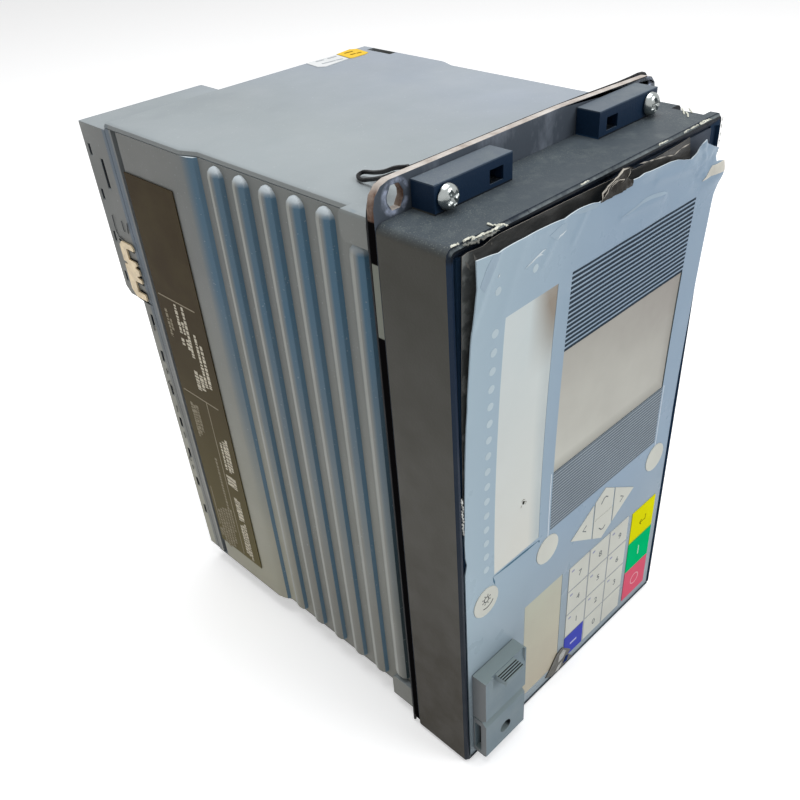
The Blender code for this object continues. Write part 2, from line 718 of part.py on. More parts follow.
def build_terminals():
    left = -HALF_HOUSING
    right = left + TERMINAL_WIDTH
    top = HOUSING_TOP - TERMINAL_TOP_DROP
    low = top - TERMINAL_HEIGHT
    back = TERMINAL_FRONT + TERMINAL_DEPTH
    chamfer = TERMINAL_CHAMFER
    outline = [(TERMINAL_FRONT, low), (back - chamfer, low), (back, low + chamfer), (back, top), (TERMINAL_FRONT, top)]
    upper = piece("upper_terminal_block", prism("X", outline, left, right), "port_plastic")
    inset = 2 * chamfer
    hollows, heads = wells(left + inset, right - inset, low + inset, top - inset, back)
    cut(upper, *hollows)
    fuse(upper, *heads)
    nicks = [box((left - 1, left + 1.2), (back - 4.5, back - 3), (top - 14 - 19.7 * k, top - 9 - 19.7 * k)) for k in range(4)]
    nicks.append(box((left - 1, left + 1.2), (TERMINAL_FRONT + 9, TERMINAL_FRONT + 11), (top - 27, top - 14)))
    cut(upper, *nicks)

    lower_top = low - GAP
    lower_back = TERMINAL_FRONT + LOWER_TERMINAL_DEPTH
    limits = ((left, right), (TERMINAL_FRONT, lower_back), (PANEL_BOTTOM, lower_top))
    lower = piece("lower_terminal_block", box(*limits), "port_plastic")
    hollows, heads = wells(left + inset, right - inset, PANEL_BOTTOM + inset, lower_top - inset, lower_back)
    cut(lower, *hollows)
    fuse(lower, *heads)
    middle = TERMINAL_FRONT + LOWER_TERMINAL_DEPTH / 2
    nicks = []
    for k in range(7):
        height = lower_top - 6 - 19.9 * k
        nicks.append(box((left - 1, left + 1.2), (middle - 0.9, middle + 0.9), (height - 6, height)))
    cut(lower, *nicks)

    supply_right = HALF_HOUSING - 3 * SHEET
    supply_left = supply_right - SUPPLY_WIDTH
    supply_low = PANEL_BOTTOM + 3 * SHEET
    supply_back = TERMINAL_FRONT + SUPPLY_DEPTH
    limits = ((supply_left, supply_right), (TERMINAL_FRONT, supply_back), (supply_low, supply_low + SUPPLY_HEIGHT))
    supply = piece("supply_terminal_block", box(*limits), "port_plastic")
    hollows, heads = wells(supply_left, supply_right, supply_low, supply_low + SUPPLY_HEIGHT, supply_back)
    cut(supply, *hollows)
    fuse(supply, *heads)


def build_contact_spring():
    """Spring contact on the left flank of the upper block: a spine with three arms."""
    outer = -HALF_HOUSING - GAP
    low = HOUSING_TOP - TERMINAL_TOP_DROP - TERMINAL_HEIGHT + 2
    high = low + CLIP_HEIGHT
    front = TERMINAL_FRONT + 2
    back = front + CLIP_WIDTH
    spine = back - CLIP_WIDTH * 0.35
    middle = (low + high) / 2
    outline = [
        (back, low + 2), (back, high - 2), (back - 2, high), (front, high), (front, high - 2.4), (spine, high - 2.4),
        (spine, middle + 5), (front + 1.5, middle + 5), (front, middle + 2), (front + 2.5, middle),
        (front, middle - 2.5), (front + 1.5, middle - 5), (spine, middle - 5), (spine, low + 2.4),
        (front, low + 2.4), (front, low), (back - 2, low),
    ]
    piece("contact_spring", prism("X", outline, outer - CLIP_THICKNESS, outer), "pale_metal")


def screw(axis, centre, seat, tip, diameter, head_diameter, head_height, facing):
    """Pan head screw; its head stands on the seat towards facing, its shank goes the other way."""
    head = facing * head_height
    profile = [
        (tip, diameter / 2), (seat, diameter / 2), (seat, head_diameter / 2),
        (seat + 0.55 * head, head_diameter / 2), (seat + 0.85 * head, head_diameter * 0.4),
        (seat + head, head_diameter * 0.22),
    ]
    return turned(axis, centre, profile, 12)


def cross_recess(axis, centre, top, depth, size, facing):
    """Cross slot cut into a screw head."""
    low, high = sorted((top - facing * depth, top + facing))
    width = size / 5
    u, v = centre
    star = [
        (u + size / 2, v + width / 2), (u + width / 2, v + width / 2), (u + width / 2, v + size / 2),
        (u - width / 2, v + size / 2), (u - width / 2, v + width / 2), (u - size / 2, v + width / 2),
        (u - size / 2, v - width / 2), (u - width / 2, v - width / 2), (u - width / 2, v - size / 2),
        (u + width / 2, v - size / 2), (u + width / 2, v - width / 2), (u + size / 2, v - width / 2),
    ]
    return prism(axis, star, low, high)


def build_earth_screw():
    centre = (HALF_HOUSING - 12, HOUSING_TOP - 16)
    seat = HOUSING_DEPTH + GAP
    tip = HOUSING_DEPTH - 8
    shape = screw("Y", centre, seat, tip, EARTH_SCREW_DIAMETER / 2, EARTH_SCREW_DIAMETER, 3.2, 1)
    bolt = piece("earth_screw", shape, "bright_metal", smooth=True)
    cut(bolt, cross_recess("Y", centre, seat + 3.2, 1.5, EARTH_SCREW_DIAMETER * 0.5, 1))
    cover = bpy.data.objects["rear_cover"]
    cut(cover, rod("Y", centre, EARTH_SCREW_DIAMETER / 4 + GAP, HOUSING_DEPTH - 5, HOUSING_DEPTH + 5, 12))


# Bezel

def build_bezel():
    front = -BEZEL_DEPTH
    section = [
        (0, -GAP), (0, front + 1), (1, front), (1 + RIM_FLAT, front), (RIM_WIDTH, front + RIM_DEPTH),
        (RIM_WIDTH, PLATE_BACK + GAP), (BEZEL_WALL, PLATE_BACK + RIM_WIDTH), (BEZEL_WALL, -GAP),
    ]
    shape = frame_ring(section, HALF_FLANGE, 0, BEZEL_TOP, BEZEL_CORNER)
    bezel = piece("front_bezel", shape, "dark_plastic")
    lugs = []
    windows = []
    for side in (-1, 1):
        outer = HALF_FLANGE - LUG_INSET
        inner = outer - LUG_LENGTH
        lugs.append(flank(box((inner, outer), (-LUG_DEPTH, -GAP), (BEZEL_TOP - 1, BEZEL_TOP + LUG_HEIGHT)), side))
        low = BEZEL_TOP + (LUG_HEIGHT - LUG_WINDOW_HEIGHT) / 2 - LUG_WINDOW_DROP
        near = inner + LUG_WINDOW_INSET
        limits = ((near, near + LUG_WINDOW), (-LUG_DEPTH - 1, -LUG_DEPTH / 3), (low, low + LUG_WINDOW_HEIGHT))
        windows.append(flank(box(*limits), side))
        hole = SCREW_DIAMETER / 2 + GAP
        windows.append(rod("Y", bezel_screw_place(side), hole, -LUG_DEPTH - 1, 1, 8))
    fuse(bezel, *lugs)
    right = HALF_FLANGE + 1
    broken = [(right, BEZEL_TOP + 1), (right - 9, BEZEL_TOP + 1), (right - 8, BEZEL_TOP - 1), (right, BEZEL_TOP - 6)]
    windows.append(prism("Y", broken, front + 4, front + 17.5))
    chip = [(front - 1, BEZEL_TOP - 1.6), (front + 0.4, BEZEL_TOP - 0.8), (front + 2, BEZEL_TOP + 1), (front - 1, BEZEL_TOP + 1)]
    windows.append(prism("X", chip, 3 - HALF_FLANGE, 36 - HALF_FLANGE))
    cut(bezel, *windows)
    seat_x = (FILM_LEFT - GAP, FILM_RIGHT + GAP)
    seat_z = (FILM_MARGIN_BOTTOM - GAP, BEZEL_TOP - RIM_WIDTH)
    cut(bezel, box(seat_x, (front - 1, FILM_BACK + GAP), seat_z))
    for name, side in (("bezel_screw_left", -1), ("bezel_screw_right", 1)):
        centre = bezel_screw_place(side)
        seat = -LUG_DEPTH - GAP
        shape = screw("Y", centre, seat, FLANGE_THICKNESS, SCREW_DIAMETER, SCREW_HEAD_DIAMETER, SCREW_HEAD_HEIGHT, -1)
        bolt = piece(name, shape, "bright_metal", smooth=True)
        cut(bolt, cross_recess("Y", centre, seat - SCREW_HEAD_HEIGHT, 1.6, SCREW_HEAD_DIAMETER * 0.5, -1))


# Places on the front, in the front view

def display_window():
    """Limits of the display window in the film."""
    left = FILM_LEFT + STRIP_LEFT + STRIP_WIDTH + STRIP_DISPLAY_SPACE
    right = FILM_RIGHT - DISPLAY_MARGIN_RIGHT
    top = HEADER_LOW - STRIPE_SHARE * DISPLAY_ZONE
    return left, right, top - DISPLAY_SHARE * DISPLAY_ZONE, top


def upper_strip():
    """Limits of the window for the upper label strip."""
    left = FILM_LEFT + STRIP_LEFT
    return left, left + STRIP_WIDTH, STRIP_BOTTOM, HEADER_LOW


def lower_strip():
    """Limits of the window for the lower label strip."""
    left = FILM_LEFT + PORT_LEFT + PORT_WIDTH + LOWER_STRIP_SPACE
    right = KEYPAD_LEFT - STRIP_KEYPAD_SPACE
    return left, right, LOWER_STRIP_BOTTOM, LOWER_STRIP_BOTTOM + LOWER_STRIP_HEIGHT


def port_limits():
    """Left and right side of the port."""
    left = FILM_LEFT + PORT_LEFT
    return left, left + PORT_WIDTH


def led_places():
    """Centres of the signal lamps."""
    return [(FILM_LEFT + LED_LEFT, LED_BOTTOM + index * LED_PITCH) for index in range(LED_COUNT)]


def shrunk(outline, amount):
    """Convex outline with every side moved inwards."""
    result = []
    count = len(outline)
    for i in range(count):
        before = Vector(outline[i - 1])
        here = Vector(outline[i])
        after = Vector(outline[(i + 1) % count])
        first = (here - before).normalized()
        second = (after - here).normalized()
        inward = Vector((-first.y - second.y, first.x + second.x))
        spread = 1 + first.dot(second)
        moved = here + inward * (amount / spread)
        result.append((moved.x, moved.y))
    return result


def key_fields():
    """Name, finish and printed field of every key; the fields are closed outlines."""
    fields = []
    names = (("fn", "0", "blank"), ("1", "2", "3"), ("4", "5", "6"), ("7", "8", "9"))
    for row, row_names in enumerate(names):
        for column, name in enumerate(row_names):
            left = KEYPAD_LEFT + column * KEY_PITCH
            low = KEYPAD_BOTTOM + row * KEY_PITCH
            finish = "blue" if name == "fn" else "key"
            fields.append(("key_" + name, finish, rectangle(left, left + KEY_PITCH, low, low + KEY_PITCH)))
    tall_left = KEYPAD_LEFT + 3 * KEY_PITCH + TALL_KEY_SPACE
    tall = (("key_off", "red"), ("key_on", "green"), ("key_enter", "yellow"))
    for row, (name, finish) in enumerate(tall):
        low = KEYPAD_BOTTOM + row * TALL_KEY_HEIGHT
        fields.append((name, finish, rectangle(tall_left, tall_left + TALL_KEY_WIDTH, low, low + TALL_KEY_HEIGHT)))
    centre = KEYPAD_CENTRE
    height = ARROW_HEIGHT
    shoulder = ARROW_HALF_HEIGHT * (1 - ARROW_CUT / ARROW_HALF_WIDTH)
    near = ARROW_CUT
    fields.append(("key_left", "key", [
        (centre - ARROW_HALF_WIDTH, height), (centre - near, height - shoulder), (centre - near, height + shoulder)]))
    fields.append(("key_right", "key", [
        (centre + near, height - shoulder), (centre + ARROW_HALF_WIDTH, height), (centre + near, height + shoulder)]))
    fields.append(("key_up", "key", [
        (centre - near, height), (centre + near, height), (centre + near, height + shoulder),
        (centre, height + ARROW_HALF_HEIGHT), (centre - near, height + shoulder)]))
    fields.append(("key_down", "key", [
        (centre - near, height), (centre - near, height - shoulder), (centre, height - ARROW_HALF_HEIGHT),
        (centre + near, height - shoulder), (centre + near, height)]))
    menu_left = centre - ARROW_HALF_WIDTH - MENU_KEY_SPACE
    rounds = (
        ("key_lamp_test", FILM_LEFT + LAMP_KEY_LEFT),
        ("key_menu_left", menu_left),
        ("key_menu_right", FILM_RIGHT - MENU_KEY_RIGHT),
    )
    for name, place_x in rounds:
        fields.append((name, "key", circle((place_x, ROUND_KEY_HEIGHT), ROUND_KEY_DIAMETER / 2 + KEY_GROOVE / 2, 20)))
    return fields


def key_windows():
    """Openings of the plate behind the keys: one for the digits, one for the tall keys, and so on."""
    margin = GAP
    keypad = rectangle(
        KEYPAD_LEFT - margin, KEYPAD_LEFT + 3 * KEY_PITCH + margin, KEYPAD_BOTTOM - margin, KEYPAD_TOP + margin)
    tall_left = KEYPAD_LEFT + 3 * KEY_PITCH + TALL_KEY_SPACE
    tall_top = KEYPAD_BOTTOM + 3 * TALL_KEY_HEIGHT
    tall = rectangle(tall_left - margin, tall_left + TALL_KEY_WIDTH + margin, KEYPAD_BOTTOM - margin, tall_top + margin)
    arrows = [
        (KEYPAD_CENTRE + ARROW_HALF_WIDTH + 2 * margin, ARROW_HEIGHT),
        (KEYPAD_CENTRE, ARROW_HEIGHT + ARROW_HALF_HEIGHT + 2 * margin),
        (KEYPAD_CENTRE - ARROW_HALF_WIDTH - 2 * margin, ARROW_HEIGHT),
        (KEYPAD_CENTRE, ARROW_HEIGHT - ARROW_HALF_HEIGHT - 2 * margin),
    ]
    windows = [keypad, tall, arrows]
    windows += [field for name, finish, field in key_fields() if len(field) > 5]
    return windows


# Film, strips and window, which have come away from the plate at the top

def film_lift(across, height):
    """How far the film stands off at a place of the front view; it has come off most at the left."""
    if height <= FILM_FOLD_HEIGHT:
        return 0
    share = (height - FILM_FOLD_HEIGHT) / (FILM_TOP - FILM_FOLD_HEIGHT)
    lean = 1 - FILM_LEAN * (across - FILM_LEFT) / (FILM_RIGHT - FILM_LEFT)
    return FILM_LIFT * lean * share ** FILM_FOLD_POWER


def peeled(shape):
    """Bend a flat sheet the way the film is bent."""
    for step in range(1, FILM_FOLD_STEPS + 1):
        level = FILM_FOLD_HEIGHT + (FILM_TOP - FILM_FOLD_HEIGHT) * step / (FILM_FOLD_STEPS + 1)
        geometry = shape.verts[:] + shape.edges[:] + shape.faces[:]
        bmesh.ops.bisect_plane(shape, geom=geometry, dist=0.0001, plane_co=(0, 0, level), plane_no=(0, 0, 1))
    geometry = shape.verts[:] + shape.edges[:] + shape.faces[:]
    bmesh.ops.bisect_plane(shape, geom=geometry, dist=0.0001, plane_co=(0, 0, FILM_FOLD_HEIGHT), plane_no=(0, 0, 1))
    for vert in shape.verts:
        vert.co.y -= film_lift(vert.co.x, vert.co.z)
    return shape


def film_outline():
    """Outline of the film; the top edge is wavy and its right corner is torn off."""
    width = FILM_RIGHT - FILM_LEFT
    waves = ((1.0, 13.0), (0.974, 5.5), (0.913, 1.0), (0.84, 4.5), (0.745, 1.5), (0.616, 1.0))
    waves += ((0.455, 3.7), (0.29, 1.6), (0.168, 0.5), (0.0, 0.0))
    top = [(FILM_LEFT + width * share, FILM_TOP - dip) for share, dip in waves]
    return [(FILM_LEFT, FILM_MARGIN_BOTTOM), (FILM_RIGHT, FILM_MARGIN_BOTTOM)] + top


def build_film():
    holes = [rectangle(*display_window()), rectangle(*upper_strip()), rectangle(*lower_strip())]
    left, right = port_limits()
    margin = 2 * PORT_WALL
    holes.append(rectangle(left + margin, right - margin, PORT_BOTTOM + margin, PORT_TOP - margin))
    holes += [shrunk(field, KEY_GROOVE / 2 - GAP) for name, finish, field in key_fields()]
    shape = prism("Y", film_outline(), FILM_FRONT, FILM_BACK, holes)
    piece("front_film", peeled(shape), "film")
    sheets = (
        ("upper_label_strip", upper_strip(), "card"),
        ("lower_label_strip", lower_strip(), "card"),
        ("display_window", display_window(), "window"),
    )
    for name, limits, finish in sheets:
        outline = shrunk(rectangle(*limits), GAP)
        piece(name, peeled(prism("Y", outline, FILM_FRONT + FILM_THICKNESS / 4, FILM_BACK)), finish)


def build_keys():
    for name, finish, field in key_fields():
        outline = shrunk(field, KEY_GROOVE / 2)
        centre = sum((Vector(point) for point in outline), Vector((0, 0))) / len(outline)
        pivot = (centre.x, KEY_BACK, centre.y)
        cap = prism("Y", outline, KEY_FRONT, KEY_BACK)
        key = piece(name, cap, finish, pivot)
        stem = [(centre + (Vector(point) - centre) * STEM_SHARE) for point in outline]
        fuse(key, prism("Y", [(p.x, p.y) for p in stem], KEY_BACK - KEY_THICKNESS / 2, STEM_BACK))


# Plate and what is behind it

def build_plate():
    half = HALF_FLANGE - RIM_WIDTH - GAP
    low = RIM_WIDTH + GAP
    high = BEZEL_TOP - RIM_WIDTH - GAP
    outline = rounded(-half, half, low, high, 1.0, 2)
    left, right, bottom, top = display_window()
    holes = [rectangle(left, right, bottom, top)] + key_windows()
    port_left, port_right = port_limits()
    centre = (port_left + port_right) / 2
    socket_low = (PORT_HINGE + PORT_TOP - SOCKET_HEIGHT) / 2
    margin = SOCKET_WIDTH / 2 + GAP
    holes.append(rectangle(centre - margin, centre + margin, socket_low - GAP, socket_low + SOCKET_HEIGHT + GAP))
    holes += [circle(place_led, LED_DIAMETER / 2 + GAP, 6) for place_led in led_places()]
    plate = piece("front_plate", prism("Y", outline, PLATE_FRONT, PLATE_BACK, holes), "dark_plastic")
    fuse(plate, *[rod("Y", spot, BOSS_DIAMETER / 2, PLATE_BACK - 1, BOARD_FRONT - GAP, 8) for spot in boss_places()])


def boss_places():
    """Centres of the pillars that carry the front board."""
    reach = HALF_FLANGE - RIM_WIDTH - BOARD_MARGIN - BOSS_DIAMETER / 2
    low = RIM_WIDTH + BOARD_MARGIN + BOSS_DIAMETER / 2
    high = BEZEL_TOP - low
    return [(-reach, high), (reach, high), (-reach, ROUND_KEY_HEIGHT - BOSS_STEP), (reach, ROUND_KEY_HEIGHT + BOSS_STEP)]


def build_display():
    left, right, low, high = display_window()
    glass = prism("Y", shrunk(rectangle(left, right, low, high), GAP), PLATE_FRONT + GAP, PLATE_BACK + 1)
    frame = DISPLAY_FRAME
    back = BOARD_FRONT - GAP
    outline = rounded(left - frame, right + frame, low - frame, high + frame, 2, 2)
    module = piece("display_module", prism("Y", outline, PLATE_BACK + GAP, back), "window")
    fuse(module, glass)


def build_lamp_guide():
    places = led_places()
    centre = places[0][0]
    half = LAMP_BAR_WIDTH / 2
    low = places[0][1] - half
    high = places[-1][1] + half
    bar = box((centre - half, centre + half), (PLATE_BACK + GAP, BOARD_FRONT - GAP), (low, high))
    guide = piece("lamp_light_guide", bar, "lamp")
    front = PLATE_FRONT
    fuse(guide, *[rod("Y", spot, LED_DIAMETER / 2, front, PLATE_BACK + 1, 6) for spot in places])


def build_mat():
    """Rubber mat with a dome behind every key."""
    port_right = port_limits()[1]
    display_low = display_window()[2] - DISPLAY_FRAME - GAP
    left = FILM_LEFT + STRIP_LEFT
    right = FILM_RIGHT - 2 * BEZEL_WALL
    edge = port_right + 2 * BEZEL_WALL
    top = ROUND_KEY_HEIGHT + ROUND_KEY_DIAMETER / 2 + BEZEL_WALL
    base = KEYPAD_BOTTOM + BEZEL_WALL
    lamp = FILM_LEFT + 2 * BEZEL_WALL
    shelf = ROUND_KEY_HEIGHT - ROUND_KEY_DIAMETER / 2 - BEZEL_WALL
    outline = [(edge, base), (right, base), (right, top), (lamp, top), (lamp, shelf), (edge, shelf)]
    holes = []
    for u, v in boss_places():
        if lamp < u < right and shelf < v < top:
            holes.append(circle((u, v), BOSS_DIAMETER / 2 + GAP, 8))
    shape = prism("Y", outline, MAT_FRONT, MAT_BACK, holes)
    mat = piece("rubber_key_mat", shape, "rubber")
    domes = []
    for name, finish, field in key_fields():
        centre = sum((Vector(point) for point in field), Vector((0, 0))) / len(field)
        profile = [(MAT_FRONT + MAT_THICKNESS / 2, 2.6), (MAT_FRONT, 2.6), (DOME_TIP, 1.4)]
        domes.append(turned("Y", (centre.x, centre.y), profile, 6))
    fuse(mat, *domes)


def build_front_board():
    half = HALF_FLANGE - RIM_WIDTH - BOARD_MARGIN
    low = RIM_WIDTH + BOARD_MARGIN
    high = BEZEL_TOP - RIM_WIDTH - BOARD_MARGIN
    port_left, port_right = port_limits()
    centre = (port_left + port_right) / 2
    socket_low = (PORT_HINGE + PORT_TOP - SOCKET_HEIGHT) / 2
    margin = SOCKET_WIDTH / 2 + GAP
    hole = rectangle(centre - margin, centre + margin, socket_low - GAP, socket_low + SOCKET_HEIGHT + GAP)
    outline = rectangle(-half, half, low, high)
    board = piece("front_board", prism("Y", outline, BOARD_FRONT, BOARD_FRONT + BOARD, [hole]), "board")
    depth = (BOARD_FRONT + BOARD / 2, BOARD_FRONT + BOARD + CHIP_HEIGHT)
    half_chip = CHIP_SIZE / 2
    centres = [(0, KEYPAD_TOP / 2), (half, ROUND_KEY_HEIGHT), (0, (KEY_ROW_TOP + HEADER_LOW) / 2), (-half, HEADER_LOW)]
    chips = []
    for u, v in centres:
        u *= 0.5
        chips.append(box((u - half_chip, u + half_chip), depth, (v - half_chip, v + half_chip)))
    fuse(board, *chips)


# Port

def build_port():
    left, right = port_limits()
    back = FILM_FRONT - GAP
    hinge_y = PORT_FACE + PORT_CHAMFER
    outline = [
        (back, PORT_HINGE + GAP), (hinge_y, PORT_HINGE + GAP), (PORT_FACE, PORT_HINGE + GAP + PORT_CHAMFER),
        (PORT_FACE, PORT_TOP), (back, PORT_TOP),
    ]
    flap = piece("port_flap", prism("X", outline, left, right), "port_plastic", ((left + right) / 2, hinge_y, PORT_HINGE))
    wall = PORT_WALL
    inside = ((left + wall, right - wall), (PORT_FACE + PORT_CHAMFER + wall, back + 1), (PORT_HINGE + GAP + wall, PORT_TOP - wall))
    cut(flap, box(*inside))
    tab_left = (left + right - TAB_LENGTH) / 2
    tab_right = tab_left + TAB_LENGTH
    tab_top = PORT_TOP - 0.6
    pocket_floor = PORT_FACE + PORT_CHAMFER / 2
    pocket = [
        (PORT_FACE - 1, tab_top + 2), (PORT_FACE - 1, tab_top - 2 * TAB_THICKNESS),
        (PORT_FACE, tab_top - 2 * TAB_THICKNESS), (pocket_floor, tab_top - TAB_THICKNESS), (pocket_floor, tab_top + 2),
    ]
    cut(flap, prism("X", pocket, tab_left - 2.5, right - PORT_WALL / 2))
    front = PORT_FACE - TAB_REACH
    tab = [(pocket_floor + 0.4, tab_top - TAB_THICKNESS), (front, tab_top - TAB_THICKNESS * 0.6)]
    step = (pocket_floor - front - 0.6) / TAB_RIBS
    tab.append((front, tab_top))
    for k in range(1, TAB_RIBS):
        groove = front + k * step
        tab += [(groove - 0.3, tab_top), (groove, tab_top - 0.5), (groove + 0.3, tab_top)]
    tab.append((pocket_floor + 0.4, tab_top))
    fuse(flap, prism("X", tab, tab_left, tab_right))

    low = PORT_BOTTOM
    margin = 2 * PORT_WALL + GAP
    base_outline = [
        (back, low), (PORT_FACE + 1, low), (PORT_FACE, low + 1), (PORT_FACE, PORT_HINGE - GAP - PORT_CHAMFER),
        (hinge_y, PORT_HINGE - GAP), (back, PORT_HINGE - GAP),
    ]
    base = piece("port_hinge_base", prism("X", base_outline, left, right), "port_plastic")
    foot = ((left + margin, right - margin), (back - 1, PLATE_FRONT - GAP), (low + margin, PORT_HINGE - 2))
    fuse(base, box(*foot))
    hole = rod("Y", ((left + right) / 2, (low + PORT_HINGE) / 2 - 2), PORT_HOLE_DIAMETER / 2, PORT_FACE - 1, FILM_FRONT - 2, 12)
    side_slot = box((left - 1, left + 3), (back - PORT_SLOT_WIDTH - 0.8, back - 0.8), (low + 3, PORT_HINGE - 4))
    cut(base, hole, side_slot)

    centre = (left + right) / 2
    socket_low = (PORT_HINGE + PORT_TOP - SOCKET_HEIGHT) / 2
    half = SOCKET_WIDTH / 2
    limits = ((centre - half, centre + half), (FILM_FRONT, FILM_FRONT + SOCKET_DEPTH), (socket_low, socket_low + SOCKET_HEIGHT))
    socket = piece("port_socket", box(*limits), "bright_metal")
    wall = 1.0
    mouth = ((centre - half + wall, centre + half - wall), (FILM_FRONT - 1, FILM_FRONT + 8), (socket_low + wall, socket_low + SOCKET_HEIGHT - wall))
    cut(socket, box(*mouth))
    tongue = ((centre - half / 2, centre + half / 2), (FILM_FRONT + 1.5, FILM_FRONT + 9), (socket_low + 4, socket_low + 7))
    fuse(socket, box(*tongue))


# Boards and transformers inside the housing

def build_inside():
    low = HOUSING_LIFT + SHEET + GAP
    high = HOUSING_TOP - SHEET - GAP
    front = PANEL_FRONT + SLEEVE
    back = PANEL_BACK - 2 * SLEEVE
    names = ("input_output_board", "processor_board", "power_supply_board")
    for name, place_x in zip(names, board_places()):
        half = BOARD / 2
        board = piece(name, box((place_x - half, place_x + half), (front, back), (low, high)), "board")
        face = (place_x, place_x + half + CHIP_HEIGHT)
        span = back - front
        middle = (low + high) / 2
        chips = []
        for share in (0.25, 0.5, 0.75):
            start = front + share * span - CHIP_SIZE / 2
            chips.append(box(face, (start, start + CHIP_SIZE), (middle, middle + 1.4 * CHIP_SIZE)))
        plug = (place_x, place_x + half + 3 * CHIP_HEIGHT)
        chips.append(box(plug, (back - CHIP_SIZE / 2, back), (low + 0.2 * (high - low), low + 0.8 * (high - low))))
        fuse(board, *chips)
    face = board_places()[0] - BOARD / 2 - GAP
    size = TRANSFORMER_SIZE
    for index in range(TRANSFORMER_COUNT):
        base = low + size / 2 + index * (size + TRANSFORMER_SPACE)
        middle = (front + back) / 2
        core = box((face - size * 0.7, face), (middle - size / 2, middle + size / 2), (base, base + size))
        coil = piece("current_transformer_%d" % (index + 1), core, "iron")
        bobbin = rod("X", (middle, base + size / 2), size * 0.36, face - size * 0.85, face - 1, 12)
        fuse(coil, bobbin)
    face = board_places()[-1] + BOARD / 2 + GAP
    middle = (front + back) / 2
    base = low + size / 2
    core = box((face, face + size * 0.9), (middle - 0.75 * size, middle + 0.75 * size), (base, base + 1.4 * size))
    supply = piece("power_transformer", core, "iron")
    centre = (middle, base + 0.7 * size)
    fuse(supply, rod("X", centre, size * 0.5, face + 1, face + size * 1.1, 12))


# Labels

def build_labels():
    outer = -HALF_HOUSING - GAP
    rear = PANEL_BACK - RATING_BACK
    outline = rectangle(rear - RATING_WIDTH, rear, PANEL_BOTTOM + RATING_BOTTOM, PANEL_TOP - RATING_TOP)
    piece("rating_label", prism("X", outline, outer - LABEL_THICKNESS, outer), "brown")
    level = HOUSING_TOP + GAP
    right = HALF_HOUSING - STICKER_SIDE
    limits = ((right - STICKER_LENGTH, right), (HOUSING_DEPTH - STICKER_WIDTH - 0.5, HOUSING_DEPTH - 0.5))
    piece("top_sticker", box(*limits, (level, level + LABEL_THICKNESS)), "sticker")


def clear_scene():
    for obj in list(bpy.data.objects):
        bpy.data.objects.remove(obj, do_unlink=True)


def build():
    clear_scene()
    build_flange()
    build_seal()
    build_collar()
    build_side_panel("side_panel_left", -1)
    build_side_panel("side_panel_right", 1)
    build_roof()
    build_floor()
    build_rear_cover()
    build_terminals()
    build_contact_spring()
    build_earth_screw()
    build_bezel()
    build_plate()
    build_film()
    build_keys()
    build_display()
    build_lamp_guide()
    build_mat()
    build_front_board()
    build_port()
    build_inside()
    build_labels()


build()
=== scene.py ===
"""Looks of the protection relay, dressed over its solids."""
import math
import random

import bmesh
import bpy
import numpy as np
from mathutils import Matrix, Vector, noise


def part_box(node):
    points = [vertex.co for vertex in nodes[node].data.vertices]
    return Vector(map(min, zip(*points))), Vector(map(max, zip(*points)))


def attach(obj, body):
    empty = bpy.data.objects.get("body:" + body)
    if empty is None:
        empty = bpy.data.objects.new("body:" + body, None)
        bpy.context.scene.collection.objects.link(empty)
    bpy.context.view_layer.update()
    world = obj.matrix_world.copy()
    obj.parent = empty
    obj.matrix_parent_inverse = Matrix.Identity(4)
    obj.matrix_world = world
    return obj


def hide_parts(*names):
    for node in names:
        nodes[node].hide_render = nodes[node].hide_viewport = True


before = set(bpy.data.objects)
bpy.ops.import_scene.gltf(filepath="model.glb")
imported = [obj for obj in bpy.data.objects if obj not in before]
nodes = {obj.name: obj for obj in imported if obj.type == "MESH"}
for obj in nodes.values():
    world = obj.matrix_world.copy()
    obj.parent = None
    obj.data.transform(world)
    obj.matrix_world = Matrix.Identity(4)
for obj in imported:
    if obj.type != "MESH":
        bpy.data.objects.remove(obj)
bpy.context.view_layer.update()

MM = 0.001
FLANGE_Y = -71.75
CASE = "relay_case"
X, Y, Z = 0, 1, 2

# Places on the front, in millimetres: across, and height above the base
FILM_LEFT, FILM_RIGHT = -71.3, 73.4
FILM_BOTTOM = 1.6
FILM_FRONT = -28.9
FILM_THICKNESS = 0.45
GLUE_FRONT = -28.25
SLOT_PLACE = (65.75, 256.2)
STRIP = (-54.7, -26.7, 106.9, 222.4)
DISPLAY = (-19.1, 59.4, 136.5, 192.3)
LOWER_STRIP = (-34.5, -7.6, 7.5, 70.5)
PORT = (-69.2, -42.5, 5.0, 58.0)


# Materials

def srgb(code):
    """Linear colour from a hex code."""
    values = [int(code[i:i + 2], 16) / 255 for i in (0, 2, 4)]
    return [v / 12.92 if v <= 0.04045 else ((v + 0.055) / 1.055) ** 2.4 for v in values] + [1.0]


